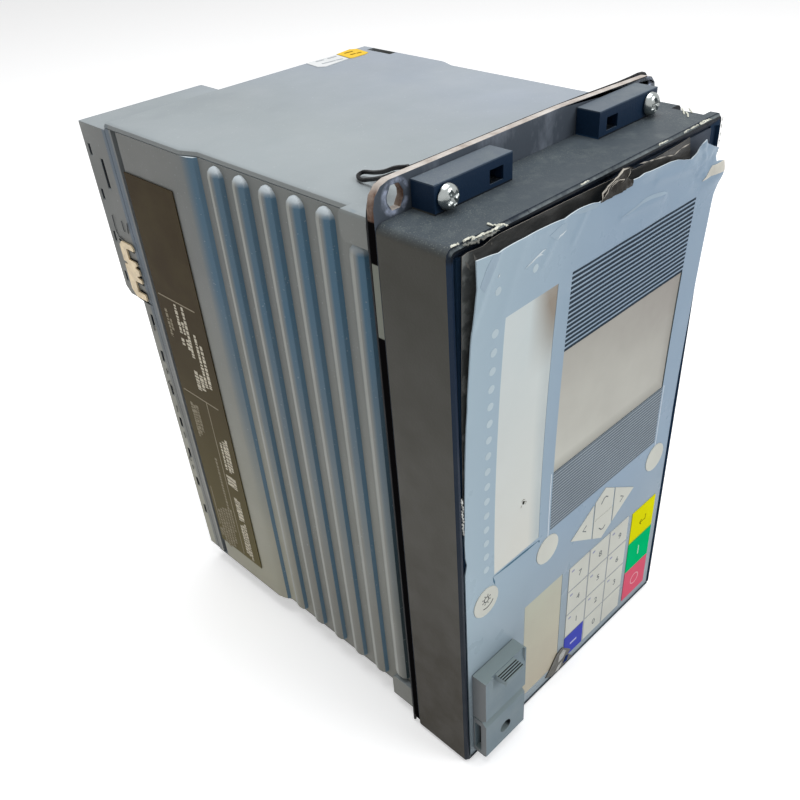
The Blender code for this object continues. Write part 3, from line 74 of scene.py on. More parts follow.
class Paint:
    """Small helper around a node tree that ends in one Principled shader; tint is its colour so far."""

    def __init__(self, name, roughness=0.5, metallic=0.0, specular=0.5):
        self.material = bpy.data.materials.new(name)
        self.material.use_nodes = True
        self.tree = self.material.node_tree
        self.shader = self.tree.nodes["Principled BSDF"]
        for socket, value in (
            ("Roughness", roughness), ("Metallic", metallic), ("Specular IOR Level", specular)
        ):
            self.shader.inputs[socket].default_value = value
        self.coords = self.add("ShaderNodeTexCoord").outputs["Object"]
        self.tint = None

    def add(self, kind, **values):
        node = self.tree.nodes.new(kind)
        for key, value in values.items():
            setattr(node, key, value)
        return node

    def plug(self, socket, value):
        """Link a socket to another, or set its value; a hex code stands for a colour."""
        if isinstance(value, bpy.types.NodeSocket):
            self.tree.links.new(value, socket)
        else:
            socket.default_value = srgb(value) if isinstance(value, str) else value

    def noise(self, scale, detail, roughness=0.55, stretch=(1, 1, 1), offset=(0, 0, 0)):
        """Noise between 0 and 1 in the object's own space; scale is per metre."""
        mapping = self.add("ShaderNodeMapping")
        node = self.add("ShaderNodeTexNoise")
        for target, socket, value in (
            (mapping, "Scale", stretch), (mapping, "Location", offset), (mapping, "Vector", self.coords),
            (node, "Scale", scale), (node, "Detail", detail), (node, "Roughness", roughness),
            (node, "Vector", mapping.outputs["Vector"]),
        ):
            self.plug(target.inputs[socket], value)
        return node.outputs["Fac"]

    def ramp(self, value, low, high, start=0.0, stop=1.0):
        """Map a value from low..high to start..stop, held at the ends."""
        node = self.add("ShaderNodeMapRange", clamp=True)
        for name, number in (
            ("Value", value), ("From Min", low), ("From Max", high), ("To Min", start), ("To Max", stop)
        ):
            self.plug(node.inputs[name], number)
        return node.outputs["Result"]

    def math(self, operation, first, second=0.0, clamp=False):
        node = self.add("ShaderNodeMath", operation=operation, use_clamp=clamp)
        self.plug(node.inputs[0], first)
        self.plug(node.inputs[1], second)
        return node.outputs[0]

    def both(self, first, *others):
        """Product of shares."""
        for other in others:
            first = self.math("MULTIPLY", first, other)
        return first

    def either(self, first, second):
        """The larger of two shares."""
        return self.math("MAXIMUM", first, second)

    def axis(self, index):
        """One coordinate of the surface point, in metres."""
        split = self.add("ShaderNodeSeparateXYZ")
        self.plug(split.inputs[0], self.coords)
        return split.outputs[index]

    def facing(self, index, sign=1):
        """How far the surface faces along an axis of the object, from 0 to 1."""
        split = self.add("ShaderNodeSeparateXYZ")
        self.plug(split.inputs[0], self.add("ShaderNodeTexCoord").outputs["Normal"])
        return self.math("MULTIPLY", split.outputs[index], float(sign), clamp=True)

    def along(self, index, low, high, start=0.0, stop=1.0):
        """Share that changes along an axis."""
        return self.ramp(self.axis(index), low, high, start, stop)

    def band(self, index, low, high, soft):
        """Share of 1 between two places on an axis, with soft ends inside them."""
        return self.both(self.along(index, low, low + soft), self.along(index, high, high - soft))

    def faces(self, index, sign, low, high, start=0.0, stop=1.0):
        """Share that changes with how far the surface faces along an axis."""
        return self.ramp(self.facing(index, sign), low, high, start, stop)

    def spots(self, scale, detail, low, high, start=0.0, stop=1.0, **more):
        """Share that follows noise."""
        return self.ramp(self.noise(scale, detail, **more), low, high, start, stop)

    def mix(self, share, first, second):
        node = self.add("ShaderNodeMix", data_type="RGBA")
        for index, value in ((0, share), (6, first), (7, second)):
            self.plug(node.inputs[index], value)
        return node.outputs[2]

    def colour(self, value):
        """Set the colour; what is laid on later goes over it."""
        self.tint = value
        self.plug(self.shader.inputs["Base Color"], value)
        return self

    def lay(self, value, share):
        """Lay another colour over what is there, by a share of the surface."""
        return self.colour(self.mix(share, self.tint, value))

    def gloss(self, scale, detail, low, high, **more):
        """Roughness that varies between two values."""
        self.plug(self.shader.inputs["Roughness"], self.spots(scale, detail, 0.3, 0.7, low, high, **more))

    def relief(self, scale, detail, strength, distance=0.0003, **more):
        node = self.add("ShaderNodeBump")
        self.plug(node.inputs["Strength"], strength)
        self.plug(node.inputs["Distance"], distance)
        self.plug(node.inputs["Height"], self.noise(scale, detail, **more))
        self.plug(self.shader.inputs["Normal"], node.outputs["Normal"])
        return self


def varied(
    name, code, roughness=0.5, metallic=0.0, spread=0.12, scale=60, grain=1600, strength=0.12, specular=0.5
):
    """Plain colour with soft blotches, fine grain and uneven gloss."""
    paint = Paint(name, roughness, metallic, specular)
    base = srgb(code)
    dark = [c * (1 - spread) for c in base[:3]] + [1]
    light = [min(c * (1 + spread), 1) for c in base[:3]] + [1]
    paint.colour(paint.mix(paint.spots(scale, 5, 0.3, 0.7), dark, light))
    paint.gloss(scale * 2.3, 3, roughness * 0.85, min(roughness * 1.15, 1), offset=(3, 1, 2))
    return paint.relief(grain, 2, strength)


def flat_print(name, code, spread=0.05):
    """Ink without gloss."""
    return varied(name, code, 0.5, spread=spread, scale=40, strength=0.04, specular=0.0)


def metal(name, code, roughness):
    """Plated metal with a faint brushed grain."""
    return varied(name, code, roughness, 1.0, 0.12, 120, 3000, 0.05)


def case_paint(name, offset=0.0):
    """Grey powder coat coloured by facing as painted light: pale on top, neutral on the flanks, blue where it
    faces forwards as a painted reflection.
    """
    paint = Paint(name, 0.45, specular=0.28)
    roof = paint.mix(paint.along(Y, 0.01, 0.13), "9BA3A6", "8B9397")
    cool = paint.both(paint.along(X, -0.03, 0.04, 0.0, 0.7), paint.spots(12, 3, 0.35, 0.6, 0.5, 1.0))
    roof = paint.mix(cool, roof, "97A0AE")
    flank = paint.mix(paint.along(Y, -0.06, 0.08), "8D8F8B", "7E7F7C")
    # Roof paler than the flanks: painted light from above
    paint.colour(paint.mix(paint.facing(Z), flank, roof))
    # Warm low on the left flank, darker low between the ribs
    left = paint.facing(X, -1)
    paint.lay(
        "B1AE9B",
        paint.both(paint.along(Z, 0.02, 0.2, 1.0, 0.0), left, paint.along(Y, 0.005, 0.025, 0.35, 1.0))
    )
    paint.lay("76756F", paint.both(paint.along(Z, 0.12, 0.04), paint.along(Y, 0.025, 0.005, 0.0, 0.6), left))
    # Painted blue reflection on the ribs' fronts, but not under the roof's rim or on the back
    blue = paint.both(paint.faces(Y, -1, 0.04, 0.3), paint.along(Z, 0.06, 0.2))
    blue = paint.either(blue, paint.faces(Y, -1, 0.45, 0.75, 0.0, 0.9))
    under = paint.either(paint.along(Z, 0.2445, 0.2435), paint.along(Y, -0.06, -0.058))
    paint.lay("52768E", paint.both(blue, under, paint.along(Y, 0.076, 0.075)))
    # Painted shade on forward faces near the front, darker low down
    paint.lay(
        "26363A", paint.both(paint.along(Z, 0.2, 0.08), paint.along(Y, -0.056, -0.057), paint.facing(Y, -1))
    )
    # Painted shade: rear-facing faces toned greyer
    paint.lay("7F878B", paint.both(paint.facing(Y), 0.5))
    # Rear cover's rim, and the groove in front of it painted paler to lift the shade in it
    rim = paint.both(paint.band(Y, 0.0876, 0.0945, 0.001), paint.faces(Z, 1, 0.5, 0.2, 0.0, 0.85))
    rim_tone = paint.mix(paint.along(Z, 0.12, 0.2), "6C6E6C", "596B7E")
    paint.lay(rim_tone, paint.both(rim, paint.faces(Y, 1, 0.5, 0.2)))
    paint.lay("86898A", paint.both(paint.band(Y, 0.0822, 0.0876, 0.0006), paint.faces(Z, 1, 0.5, 0.2)))
    # Blotches, painted highlights on the crests and the tops of the ribs, and fine specks
    paint.lay("747B7D", paint.spots(14, 5, 0.35, 0.7, 0.0, 0.25, offset=(offset, 0, 0)))
    crest_highlight = paint.both(
        paint.faces(Y, 1, 0.03, 0.12), paint.faces(Y, 1, 0.5, 0.3), paint.faces(X, -1, 0.5, 0.8)
    )
    paint.lay("A9ABA5", crest_highlight)
    if name.startswith("side_panel"):
        paint.lay("C2CBD0", paint.faces(Z, 1, 0.2, 0.6))
    paint.lay("C0C6C8", paint.spots(900, 2, 0.68, 0.74, 0.0, 0.3, offset=(offset, 4, 0)))
    paint.gloss(40, 4, 0.38, 0.55, offset=(0, offset, 0))
    return paint.relief(1500, 2, 0.16, 0.0002)


def flange_paint():
    """Slate face darkened by painted shade, scuffed round the slot; top edge and upper corner worn to pinkish
    metal, the rest dark.
    """
    paint = Paint("flange_coat", 0.45, specular=0.3)
    # Dark slate face: painted shade; paler scuffs over it
    scuff = paint.spots(70, 7, 0.5, 0.66, 0.0, 0.6, roughness=0.65, stretch=(1, 1, 0.5))
    paint.colour(paint.mix(scuff, "505862", "8E96A2"))
    across = paint.math("ADD", paint.math("ABSOLUTE", paint.axis(X)), -SLOT_PLACE[0] * MM)
    rise = paint.math("ADD", paint.axis(Z), -SLOT_PLACE[1] * MM)
    reach = paint.math("SQRT", paint.math("ADD", paint.both(across, across), paint.both(rise, rise)))
    ring = paint.both(paint.ramp(reach, 0.0036, 0.0042), paint.ramp(reach, 0.0062, 0.005))
    paint.lay("B9C3DA", paint.both(ring, paint.spots(330, 4, 0.4, 0.6, 0.1, 0.9, offset=(5, 5, 5))))
    paint.lay(paint.mix(paint.spots(130, 5, 0.35, 0.65), "A3978D", "CFC9C2"), paint.faces(Z, 1, 0.3, 0.6))
    corner = paint.mix(paint.spots(200, 5, 0.4, 0.6), "6E564A", "A8968A")
    flank = paint.mix(paint.band(Z, 0.2112, 0.2375, 0.0004), "100F10", "92958B")
    flank = paint.mix(paint.along(Z, 0.2508, 0.2515), flank, corner)
    flanks = paint.either(paint.facing(X, -1), paint.facing(X))
    paint.lay(flank, paint.ramp(flanks, 0.5, 0.8))
    paint.plug(paint.shader.inputs["Specular IOR Level"], paint.ramp(flanks, 0.5, 0.8, 0.3, 0.0))
    return paint.relief(700, 3, 0.2, 0.0002)


def bezel_paint():
    """Charcoal on top, brownish on the flanks, navy on the lugs and in the recess: colour by facing as painted
    light and shade on one plastic; painted highlights along its lip and lug edges.
    """
    paint = Paint("bezel_plastic", 0.5, specular=0.16)
    foot = paint.mix(paint.along(Z, 0.045, 0.15), "342F25", "595751")
    paint.colour(paint.mix(paint.along(Z, 0.13, 0.22), foot, "4A4943"))
    # Painted light and shade by facing: charcoal top, navy front faces, a darker front of the top lip, darker
    # undersides
    paint.lay("444C52", paint.facing(Z))
    paint.lay(paint.mix(paint.along(Z, 0.1, 0.24), "101A26", "172A40"), paint.faces(Y, -1, 0.1, 0.5))
    paint.lay("0E141B", paint.both(paint.along(Z, 0.2455, 0.247), paint.facing(Y, -1)))
    paint.lay("141E2C", paint.facing(Z, -1))
    # Recess walls painted lighter to lift their shade
    left_wall = paint.both(paint.faces(X, 1, 0.6, 0.9), paint.along(X, 0.0, -0.001))
    right_wall = paint.both(paint.facing(X, -1), paint.along(X, 0.0, 0.001))
    paint.lay("24405E", paint.either(left_wall, right_wall))
    # Painted highlight along the lower front edge
    low_edge_highlight = paint.both(paint.along(Z, 0.0023, 0.0017), paint.along(X, -0.004, 0.004))
    paint.lay("8796A6", paint.both(low_edge_highlight, paint.facing(Y, -1)))
    # Lugs: navy sides and grey tops as painted light and shade, painted shade on the sills in their windows,
    # painted highlights along their edges
    above = paint.along(Z, 0.2508, 0.2512)
    lug_side = paint.both(above, paint.faces(Z, 1, 0.8, 0.3))
    paint.lay("142A42", lug_side)
    paint.lay("5F6871", paint.both(above, paint.faces(Z, 1, 0.75, 0.95)))
    paint.lay("0A0F16", paint.both(paint.band(Z, 0.2519, 0.2526, 0.0002), paint.facing(Z)))
    lug_edge_highlight = paint.both(paint.along(Y, -0.0811, -0.0814), above, paint.facing(Z))
    lug_edge_highlight = paint.either(lug_edge_highlight, paint.both(paint.along(Z, 0.2592, 0.2595), lug_side))
    paint.lay("4A5868", paint.both(lug_edge_highlight, 0.8))
    # Painted highlight along the lip, dust and specks
    lip_highlight = paint.both(
        paint.faces(Z, 1, 0.25, 0.5), paint.faces(Y, -1, 0.25, 0.5), paint.along(Y, -0.1004, -0.1008)
    )
    paint.lay("8C9596", paint.both(lip_highlight, paint.spots(90, 6, 0.35, 0.6, 0.1, 0.6, roughness=0.7)))
    paint.lay("7E8683", paint.both(paint.spots(120, 8, 0.5, 0.78, 0.0, 0.3, roughness=0.7), paint.facing(Z)))
    patch = paint.both(
        paint.spots(30, 3, 0.4, 0.62, 0.15, 1.0, offset=(0, 1, 0)), paint.math("ADD", paint.facing(Z), 0.08)
    )
    paint.lay("8F958C", paint.both(paint.spots(2400, 2, 0.6, 0.7, 0.0, 0.55, offset=(1, 2, 3)), patch))
    paint.gloss(70, 4, 0.4, 0.6)
    return paint.relief(1100, 3, 0.25)


def terminal_paint():
    """Grey moulding with painted shade darkening the slots and recesses in its left flank."""
    paint = case_paint("terminal_coat", 9)
    paint.lay("5B6164", paint.both(paint.faces(Y, 1, 0.6, 0.9), paint.spots(30, 2, 0.3, 0.7, 0.35, 0.6)))
    # Painted shade on the slots' faces, and near black on the sunk faces behind the flank
    paint.lay("27323A", paint.both(paint.along(Y, 0.0945, 0.095), paint.faces(Y, -1, 0.5, 0.8)))
    sunk = paint.either(paint.facing(X, -1), paint.facing(Y, -1))
    return paint.lay("16181B", paint.both(paint.along(X, -0.0722, -0.0718), paint.ramp(sunk, 0.6, 0.9)))


def port_paint():
    """Blue-grey moulding coloured by facing as painted light, with a painted highlight on its tab's end; the
    slot in its flank and the grooves of its tab are dark with painted shade.
    """
    paint = Paint("port_plastic", 0.5, specular=0.2)
    paint.colour(paint.mix(paint.spots(60, 5, 0.35, 0.65), "70818A", "7B8A91"))
    # Painted light by facing: greyer left faces, paler tops
    paint.lay("7D7F80", paint.both(paint.facing(X, -1), 0.9))
    paint.lay("8A9798", paint.facing(Z))
    paint.lay("5C7E8E", paint.both(paint.band(Z, 0.03, 0.0327, 0.0003), paint.faces(Y, -1, 0.3, 0.6)))
    # Painted highlight on the lit left end of the tab
    wedge_highlight = paint.both(paint.along(Z, 0.05, 0.051), paint.along(X, -0.0685, -0.068))
    paint.lay("9AA7AB", paint.both(wedge_highlight, paint.faces(X, -1, 0.5, 0.9)))
    # Painted shade inside the slot and in the grooves of the tab
    slot_shade = paint.both(paint.along(X, -0.069, -0.0688), paint.faces(X, -1, 0.6, 0.9))
    paint.lay("0E1518", paint.both(slot_shade, paint.along(Z, 0.0302, 0.0298)))
    groove_shade = paint.both(paint.band(Z, 0.0567, 0.0574, 0.0001), paint.along(Y, -0.1071, -0.1073))
    paint.lay("2E2F2C", paint.both(groove_shade, paint.faces(Z, 1, 0.2, 0.35)))
    return paint.relief(2000, 2, 0.12, 0.0002)


def plate_paint():
    """Backing plate: slate, bluer at its top, navy where it shows left of the film, painted lighter there to
    lift its shade.
    """
    paint = Paint("plate_plastic", 0.55, specular=0.2)
    paint.colour(paint.mix(paint.along(Z, 0.19, 0.23), "2C3238", "3A4452"))
    # Painted light lifting the shade left of the film
    paint.lay("34506E", paint.along(X, -0.0682, -0.0686))
    return paint.relief(260, 6, 0.3, 0.0004, roughness=0.7, stretch=(1, 1, 2))


def glue_paint():
    """Glue layer with paler streaks and a pale rim, a little shiny; grey and mottled at its left end."""
    paint = Paint("glue_film", 0.35, specular=0.3)
    streak = paint.spots(75, 7, 0.42, 0.68, roughness=0.66, stretch=(0.5, 1, 1.6))
    paint.colour(paint.mix(streak, "33322F", "5C5A57"))
    mottled = paint.mix(paint.spots(170, 3, 0.52, 0.6, offset=(1, 0, 7)), "5C5E5D", "878986")
    paint.lay(mottled, paint.along(X, -0.0655, -0.0705))
    wisp = paint.spots(60, 8, 0.6, 0.68, 0.0, 0.5, roughness=0.75, stretch=(0.35, 1, 1.8), offset=(2, 0, 5))
    paint.lay("A19E99", wisp)
    paint.lay("98928A", paint.ramp(paint.either(paint.facing(Z), paint.facing(X, -1)), 0.5, 0.8))
    return paint.relief(110, 6, 0.6, 0.0012, roughness=0.6, stretch=(0.6, 1, 1.5))


def film_paint():
    """Printed plastic film: blue-grey, with painted light paler towards its left, painted highlights on its
    upward edges and its creased top, and greyer with darker blotches towards its foot.
    """
    paint = Paint("film_plastic", 0.3, specular=0.1)
    paint.colour(paint.mix(paint.spots(9, 3, 0.35, 0.65), "8BA1B6", "93A9BD"))
    # Painted light: paler towards the left
    paint.lay("B0C4CE", paint.along(X, -0.07, 0.0, 0.75, 0.0))
    # Painted highlights: pale patches over the creased top
    crease_highlight = paint.spots(26, 6, 0.53, 0.68, 0.0, 0.45, roughness=0.6, stretch=(1, 1, 2.2), offset=(4, 0, 1))
    paint.lay("BCCBD6", paint.both(crease_highlight, paint.along(Z, 0.205, 0.245)))
    # Greyer towards the foot, with darker blotches
    low = paint.along(Z, 0.03, 0.1, 0.8, 0.0)
    paint.lay("97A2A8", low)
    paint.lay("7E8F9B", paint.both(paint.spots(28, 6, 0.42, 0.66), low, 0.6))
    # Painted highlight on faces turned upwards
    paint.lay("CBD6DC", paint.faces(Z, 1, 0.6, 0.9))
    paint.gloss(45, 4, 0.24, 0.4)
    return paint.relief(30, 3, 0.1, 0.0015)


def card_paint():
    """Label card behind its window: nearly white, with a brownish upper right corner."""
    paint = Paint("strip_card", 0.3, specular=0.08)
    paint.colour(paint.mix(paint.along(Z, 0.11, 0.21), "DBDBD3", "CED7D7"))
    paint.lay("BDC6C6", paint.along(X, -0.034, -0.0285))
    corner = paint.both(paint.along(X, -0.041, -0.028), paint.along(Z, 0.19, 0.222))
    paint.lay("958B7E", paint.math("MULTIPLY", corner, 1.5, clamp=True))
    paint.lay("DDE2DF", paint.spots(35, 4, 0.4, 0.7, 0.0, 0.3))
    return paint.relief(25, 2, 0.06, 0.001)


def display_paint():
    """Grey glass of the display, with painted shade darker to the upper right and a painted shadow as a soft
    dark rim.
    """
    paint = Paint("display_glass", 0.2, specular=0.08)
    # Painted shade: darker to the upper right
    shade_share = paint.both(paint.math("ADD", paint.along(X, -0.019, 0.06), paint.along(Z, 0.137, 0.192)), 0.5)
    shade_share = paint.math("ADD", shade_share, paint.spots(22, 4, 0.3, 0.7, -0.15, 0.15), clamp=True)
    paint.colour(paint.mix(shade_share, "CBCBC1", "9C9790"))
    # Painted shadow along the rim
    rim = paint.either(paint.along(X, 0.0535, 0.0594), paint.along(Z, 0.1425, 0.1365))
    paint.lay("8B8980", paint.both(rim, 0.6))
    return paint.relief(25, 2, 0.05, 0.001)


def slip_paint():
    """Lower label slip: beige, a little warmer towards its foot."""
    paint = Paint("lower_slip", 0.4, specular=0.08)
    paint.colour(paint.mix(paint.along(Z, 0.01, 0.07), "C4BBA6", "BEC0AE"))
    paint.lay("B5ADA0", paint.spots(30, 4, 0.4, 0.7, 0.0, 0.4))
    return paint.relief(25, 2, 0.06, 0.001)


def label_paint():
    """Brown label, warmer and a little paler towards its foot."""
    paint = Paint("label_brown", 0.5, specular=0.06)
    paint.colour(paint.mix(paint.along(Z, 0.03, 0.16), "675D36", "3D3018"))
    paint.lay("5C5236", paint.spots(40, 5, 0.4, 0.75, 0.0, 0.4))
    return paint.relief(400, 3, 0.08)


CASE_PAINT = {}
for index, name in enumerate(
    ("top_cover", "bottom_cover", "side_panel_left", "side_panel_right", "rear_cover", "front_collar")
):
    CASE_PAINT[name] = case_paint(name + "_coat", index * 1.7)

PAINTS = {
    "mounting_flange": flange_paint(),
    "flange_seal": varied("seal_rubber", "121315", 0.5, spread=0.3, specular=0.15),
    "front_bezel": bezel_paint(),
    "front_plate": plate_paint(),
    "bezel_screw_left": metal("screw_zinc", "A6ABAA", 0.22),
    "earth_screw": metal("earth_zinc", "C6C9C8", 0.3),
    "port_socket": metal("socket_tin", "A9ACAE", 0.35),
    "contact_spring": varied("spring_metal", "E6D2AE", 0.4, 0.3, 0.2, 220),
    "upper_terminal_block": terminal_paint(),
    "port_flap": port_paint(),
    "lower_label_strip": slip_paint(),
    "display_module": varied("display_case", "8D8B80", 0.4),
    "lamp_light_guide": varied("light_guide", "C8D0D4", 0.3),
    "rubber_key_mat": varied("mat_rubber", "55585A", 0.6),
    "front_board": varied("board_green", "1F5A38", 0.4, spread=0.2, scale=300),
    "current_transformer_1": varied("iron_core", "4A4541", 0.5, 0.6, 0.3, 200),
    "rating_label": label_paint(),
    "top_sticker": varied("sticker_yellow", "F3C431", 0.45, spread=0.05),
    "key": flat_print("key_print", "D6D7CE"),
    "key_fn": flat_print("key_blue", "5058BE"),
    "key_enter": flat_print("key_yellow", "E8E414"),
    "key_on": flat_print("key_green", "0AC277"),
    "key_off": flat_print("key_red", "E6667E"),
}
SAME = {
    "bezel_screw_right": "bezel_screw_left", "lower_terminal_block": "upper_terminal_block",
    "supply_terminal_block": "upper_terminal_block", "port_hinge_base": "port_flap",
    "input_output_board": "front_board", "processor_board": "front_board",
    "power_supply_board": "front_board",
    "current_transformer_2": "current_transformer_1", "current_transformer_3": "current_transformer_1",
    "current_transformer_4": "current_transformer_1", "power_transformer": "current_transformer_1",
}


def dress_nodes():
    """Give every solid its material and soften its edges."""
    soft = {
        "front_bezel": 0.4, "top_cover": 0.3, "bottom_cover": 0.3, "port_flap": 0.35, "port_hinge_base": 0.35,
        "mounting_flange": 0.3, "upper_terminal_block": 0.5, "lower_terminal_block": 0.3, "rear_cover": 0.3,
        "front_collar": 0.3, "contact_spring": 0.15,
    }
    for name, obj in nodes.items():
        key = SAME.get(name, name)
        if name in CASE_PAINT:
            paint = CASE_PAINT[name]
        elif key in PAINTS:
            paint = PAINTS[key]
        elif name.startswith("key_"):
            paint = PAINTS["key"]
        else:
            paint = PAINTS["lower_label_strip"]
        obj.data.materials.clear()
        obj.data.materials.append(paint.material)
        weld = obj.modifiers.new("weld", "WELD")
        weld.merge_threshold = 0.000002
        if name in soft:
            flat = obj.modifiers.new("flat", "DECIMATE")
            flat.decimate_type = "DISSOLVE"
            flat.angle_limit = math.radians(1)
            bevel = obj.modifiers.new("bevel", "BEVEL")
            bevel.width = soft[name] * MM
            bevel.segments = 2
            bevel.limit_method = "ANGLE"
            bevel.angle_limit = math.radians(32)
        obj.data.shade_smooth()
        split = obj.modifiers.new("creases", "EDGE_SPLIT")
        split.split_angle = math.radians(33)
        split.use_edge_sharp = False
        if name in soft:
            level = obj.modifiers.new("even", "WEIGHTED_NORMAL")
            level.keep_sharp = True


# Shapes

def make(name, shape, paint, body=CASE, smooth=False):
    """Object from a bmesh in millimetres that rides on a body."""
    for vert in shape.verts:
        vert.co = Vector((vert.co.x * MM, (vert.co.y + FLANGE_Y) * MM, vert.co.z * MM))
    mesh = bpy.data.meshes.new(name)
    shape.to_mesh(mesh)
    shape.free()
    obj = bpy.data.objects.new(name, mesh)
    bpy.context.scene.collection.objects.link(obj)
    obj.data.materials.append(paint.material)
    if smooth:
        mesh.shade_smooth()
        mesh.set_sharp_from_angle(angle=math.radians(40))
    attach(obj, body)
    return obj


def at_top(u, table):
    """Straight-line reading of a table of (place, value) pairs."""
    return float(np.interp(u, [p for p, v in table], [v for p, v in table]))


LEAN = ((-72, 1.0), (-55, 0.92), (-26, 0.72), (-19, 0.7), (60, 0.52), (74, 0.5))
RIDGES = (
    ((6.7, 233.4), (34.4, 231.6), 0.45, 1.5), ((27.4, 239.9), (56.9, 236.4), 0.6, 1.7),
    ((-61, 247), (-70.5, 226), 0.5, 1.6),
    ((-27, 246), (-37, 233), 0.3, 1.5), ((-14, 246), (-21, 235), 0.35, 1.5), ((58, 245), (62, 231), 0.5, 1.4),
    ((66, 240), (57, 233), 0.4, 1.2), ((-48, 246), (-60, 215), 0.2, 2.5), ((-71, 196), (-66, 178), 0.25, 1.5),
)


def bump(distance, width):
    return math.exp(-(distance / width) ** 2)


def off_line(u, v, start, stop):
    """Distance of a place from a line between two points."""
    along = Vector(stop) - Vector(start)
    reach = Vector((u, v)) - Vector(start)
    share = min(max(reach.dot(along) / along.length_squared, 0), 1)
    return (reach - along * share).length


def smooth_lift(u, v):
    """Lean of the film off its plate, without creases."""
    return 6.0 * (max(v - 112, 0) / 121.7) ** 2 * at_top(u, LEAN)


def film_lift(u, v):
    """How far the film stands off its plate at a place of the front."""
    if v <= 112:
        return 0.0
    lift = smooth_lift(u, v)
    lift += 2.5 * math.exp(-((u - 73.4) / 10) ** 2 - ((v - 230) / 6) ** 2)
    if v > 170:
        for start, stop, height, width in RIDGES:
            lift += 0.7 * height * bump(off_line(u, v, start, stop), width)
        share = min((v - 170) / 70, 1)
        lift += 0.2 * share * noise.noise(Vector((u * 0.07, v * 0.05, 7.0)))
        crumple = math.exp(-((u - 61) / 8) ** 2 - ((v - 239) / 6) ** 2)
        lift += 0.9 * crumple * noise.noise(Vector((u * 0.35, v * 0.35, 3.0)))
    return lift


def film_point(u, v, depth=0.0):
    """Point on the film; depth counts backwards from its front face."""
    return Vector((u, FILM_FRONT + depth - film_lift(u, v), v))


def glue_point(u, v, depth=0.0):
    """Point on the glue layer between the plate and the film."""
    return Vector((u, GLUE_FRONT + depth - 0.37 * smooth_lift(u, v), v))


def curl_point(u, v, depth=0.0):
    """Point on the curl of glue that stands up from the film's top edge."""
    roll = 0.7 * noise.noise(Vector((u * 0.5, v * 0.5, 1.0)))
    return Vector((u, -33.9 + depth - roll + 0.12 * (v - 244), v))


def bisected(shape, step, axis, low, high, floor=None):
    """Cut a flat sheet along lines that are a step apart, all of it or only above a height."""
    normal = (1, 0, 0) if axis == 0 else (0, 0, 1)
    count = int((high - low) / step)
    for i in range(1, count + 1):
        place = low + i * (high - low) / (count + 1)
        point = (place, 0, 0) if axis == 0 else (0, 0, place)
        faces = [f for f in shape.faces if floor is None or all(v.co.z > floor - 0.01 for v in f.verts)]
        edges = {e for f in faces for e in f.edges}
        verts = {v for f in faces for v in f.verts}
        bmesh.ops.bisect_plane(
            shape, geom=[*verts, *edges, *faces], dist=0.0001, plane_co=point, plane_no=normal
        )
    return shape


def flat_sheet(outline, holes=(), step=4.0, fine=None):
    """Flat sheet with holes, cut into small faces; fine is a height and a smaller step that holds above it."""
    shape = bmesh.new()
    edges = []
    for loop in [outline, *holes]:
        points = [shape.verts.new((u, 0, v)) for u, v in loop]
        for first, second in zip(points, points[1:] + points[:1]):
            edges.append(shape.edges.new((first, second)))
    bmesh.ops.triangle_fill(shape, use_beauty=True, edges=edges)
    us = [p[0] for p in outline]
    vs = [p[1] for p in outline]
    bisected(shape, step, 0, min(us), max(us))
    bisected(shape, step, 2, min(vs), max(vs))
    if fine:
        floor, smaller = fine
        cut = [v.co.z for v in shape.verts if v.co.z > floor]
        floor = min(cut) if cut else floor
        bisected(shape, smaller, 0, min(us), max(us), floor)
        bisected(shape, smaller, 2, floor, max(vs), floor)
    return shape


def on_film(shape, front, thickness, place=film_point):
    """Thicken a flat sheet and lay it on the film, or on another surface; front is its depth from that face."""
    moved = bmesh.ops.extrude_face_region(shape, geom=shape.faces[:])
    new = {item for item in moved["geom"] if isinstance(item, bmesh.types.BMVert)}
    for vert in shape.verts:
        depth = front + thickness if vert in new else front
        vert.co = place(vert.co.x, vert.co.z, depth)
    bmesh.ops.recalc_face_normals(shape, faces=shape.faces[:])
    return shape


def rectangle(low_u, high_u, low_v, high_v):
    return [(low_u, low_v), (high_u, low_v), (high_u, high_v), (low_u, high_v)]


def circle(u, v, radius, sides=16):
    return [
        (u + radius * math.cos(2 * math.pi * i / sides), v + radius * math.sin(2 * math.pi * i / sides))
        for i in range(sides)
    ]


def merged(shapes):
    """Several shapes in one bmesh."""
    result = bmesh.new()
    for part in shapes:
        mesh = bpy.data.meshes.new("part")
        part.to_mesh(mesh)
        part.free()
        result.from_mesh(mesh)
        bpy.data.meshes.remove(mesh)
    return result


def prints(name, outlines, paint, step=4.0):
    """Printed marks, a hair thick, on the film."""
    shapes = [on_film(flat_sheet(outline, step=step), -0.05, 0.08) for outline in outlines]
    return make(name, merged(shapes), paint)


def key_outline(name, grow):
    """Outline of a key's cap from its solid's front corners, grown by an amount."""
    mesh = nodes[name].data
    front = min(v.co.y for v in mesh.vertices)
    points = {
        (round(v.co.x / MM, 3), round(v.co.z / MM, 3))
        for v in mesh.vertices if v.co.y < front + 0.0001
    }
    centre_u = sum(p[0] for p in points) / len(points)
    centre_v = sum(p[1] for p in points) / len(points)
    ordered = sorted(points, key=lambda p: math.atan2(p[1] - centre_v, p[0] - centre_u))
    result = []
    count = len(ordered)
    for i in range(count):
        before, here, after = (Vector(ordered[(i + k) % count]) for k in (-1, 0, 1))
        first = (here - before).normalized()
        second = (after - here).normalized()
        outward = Vector((first.y + second.y, -first.x - second.x))
        moved = here + outward * (grow / (1 + first.dot(second)))
        result.append((moved.x, moved.y))
    return result


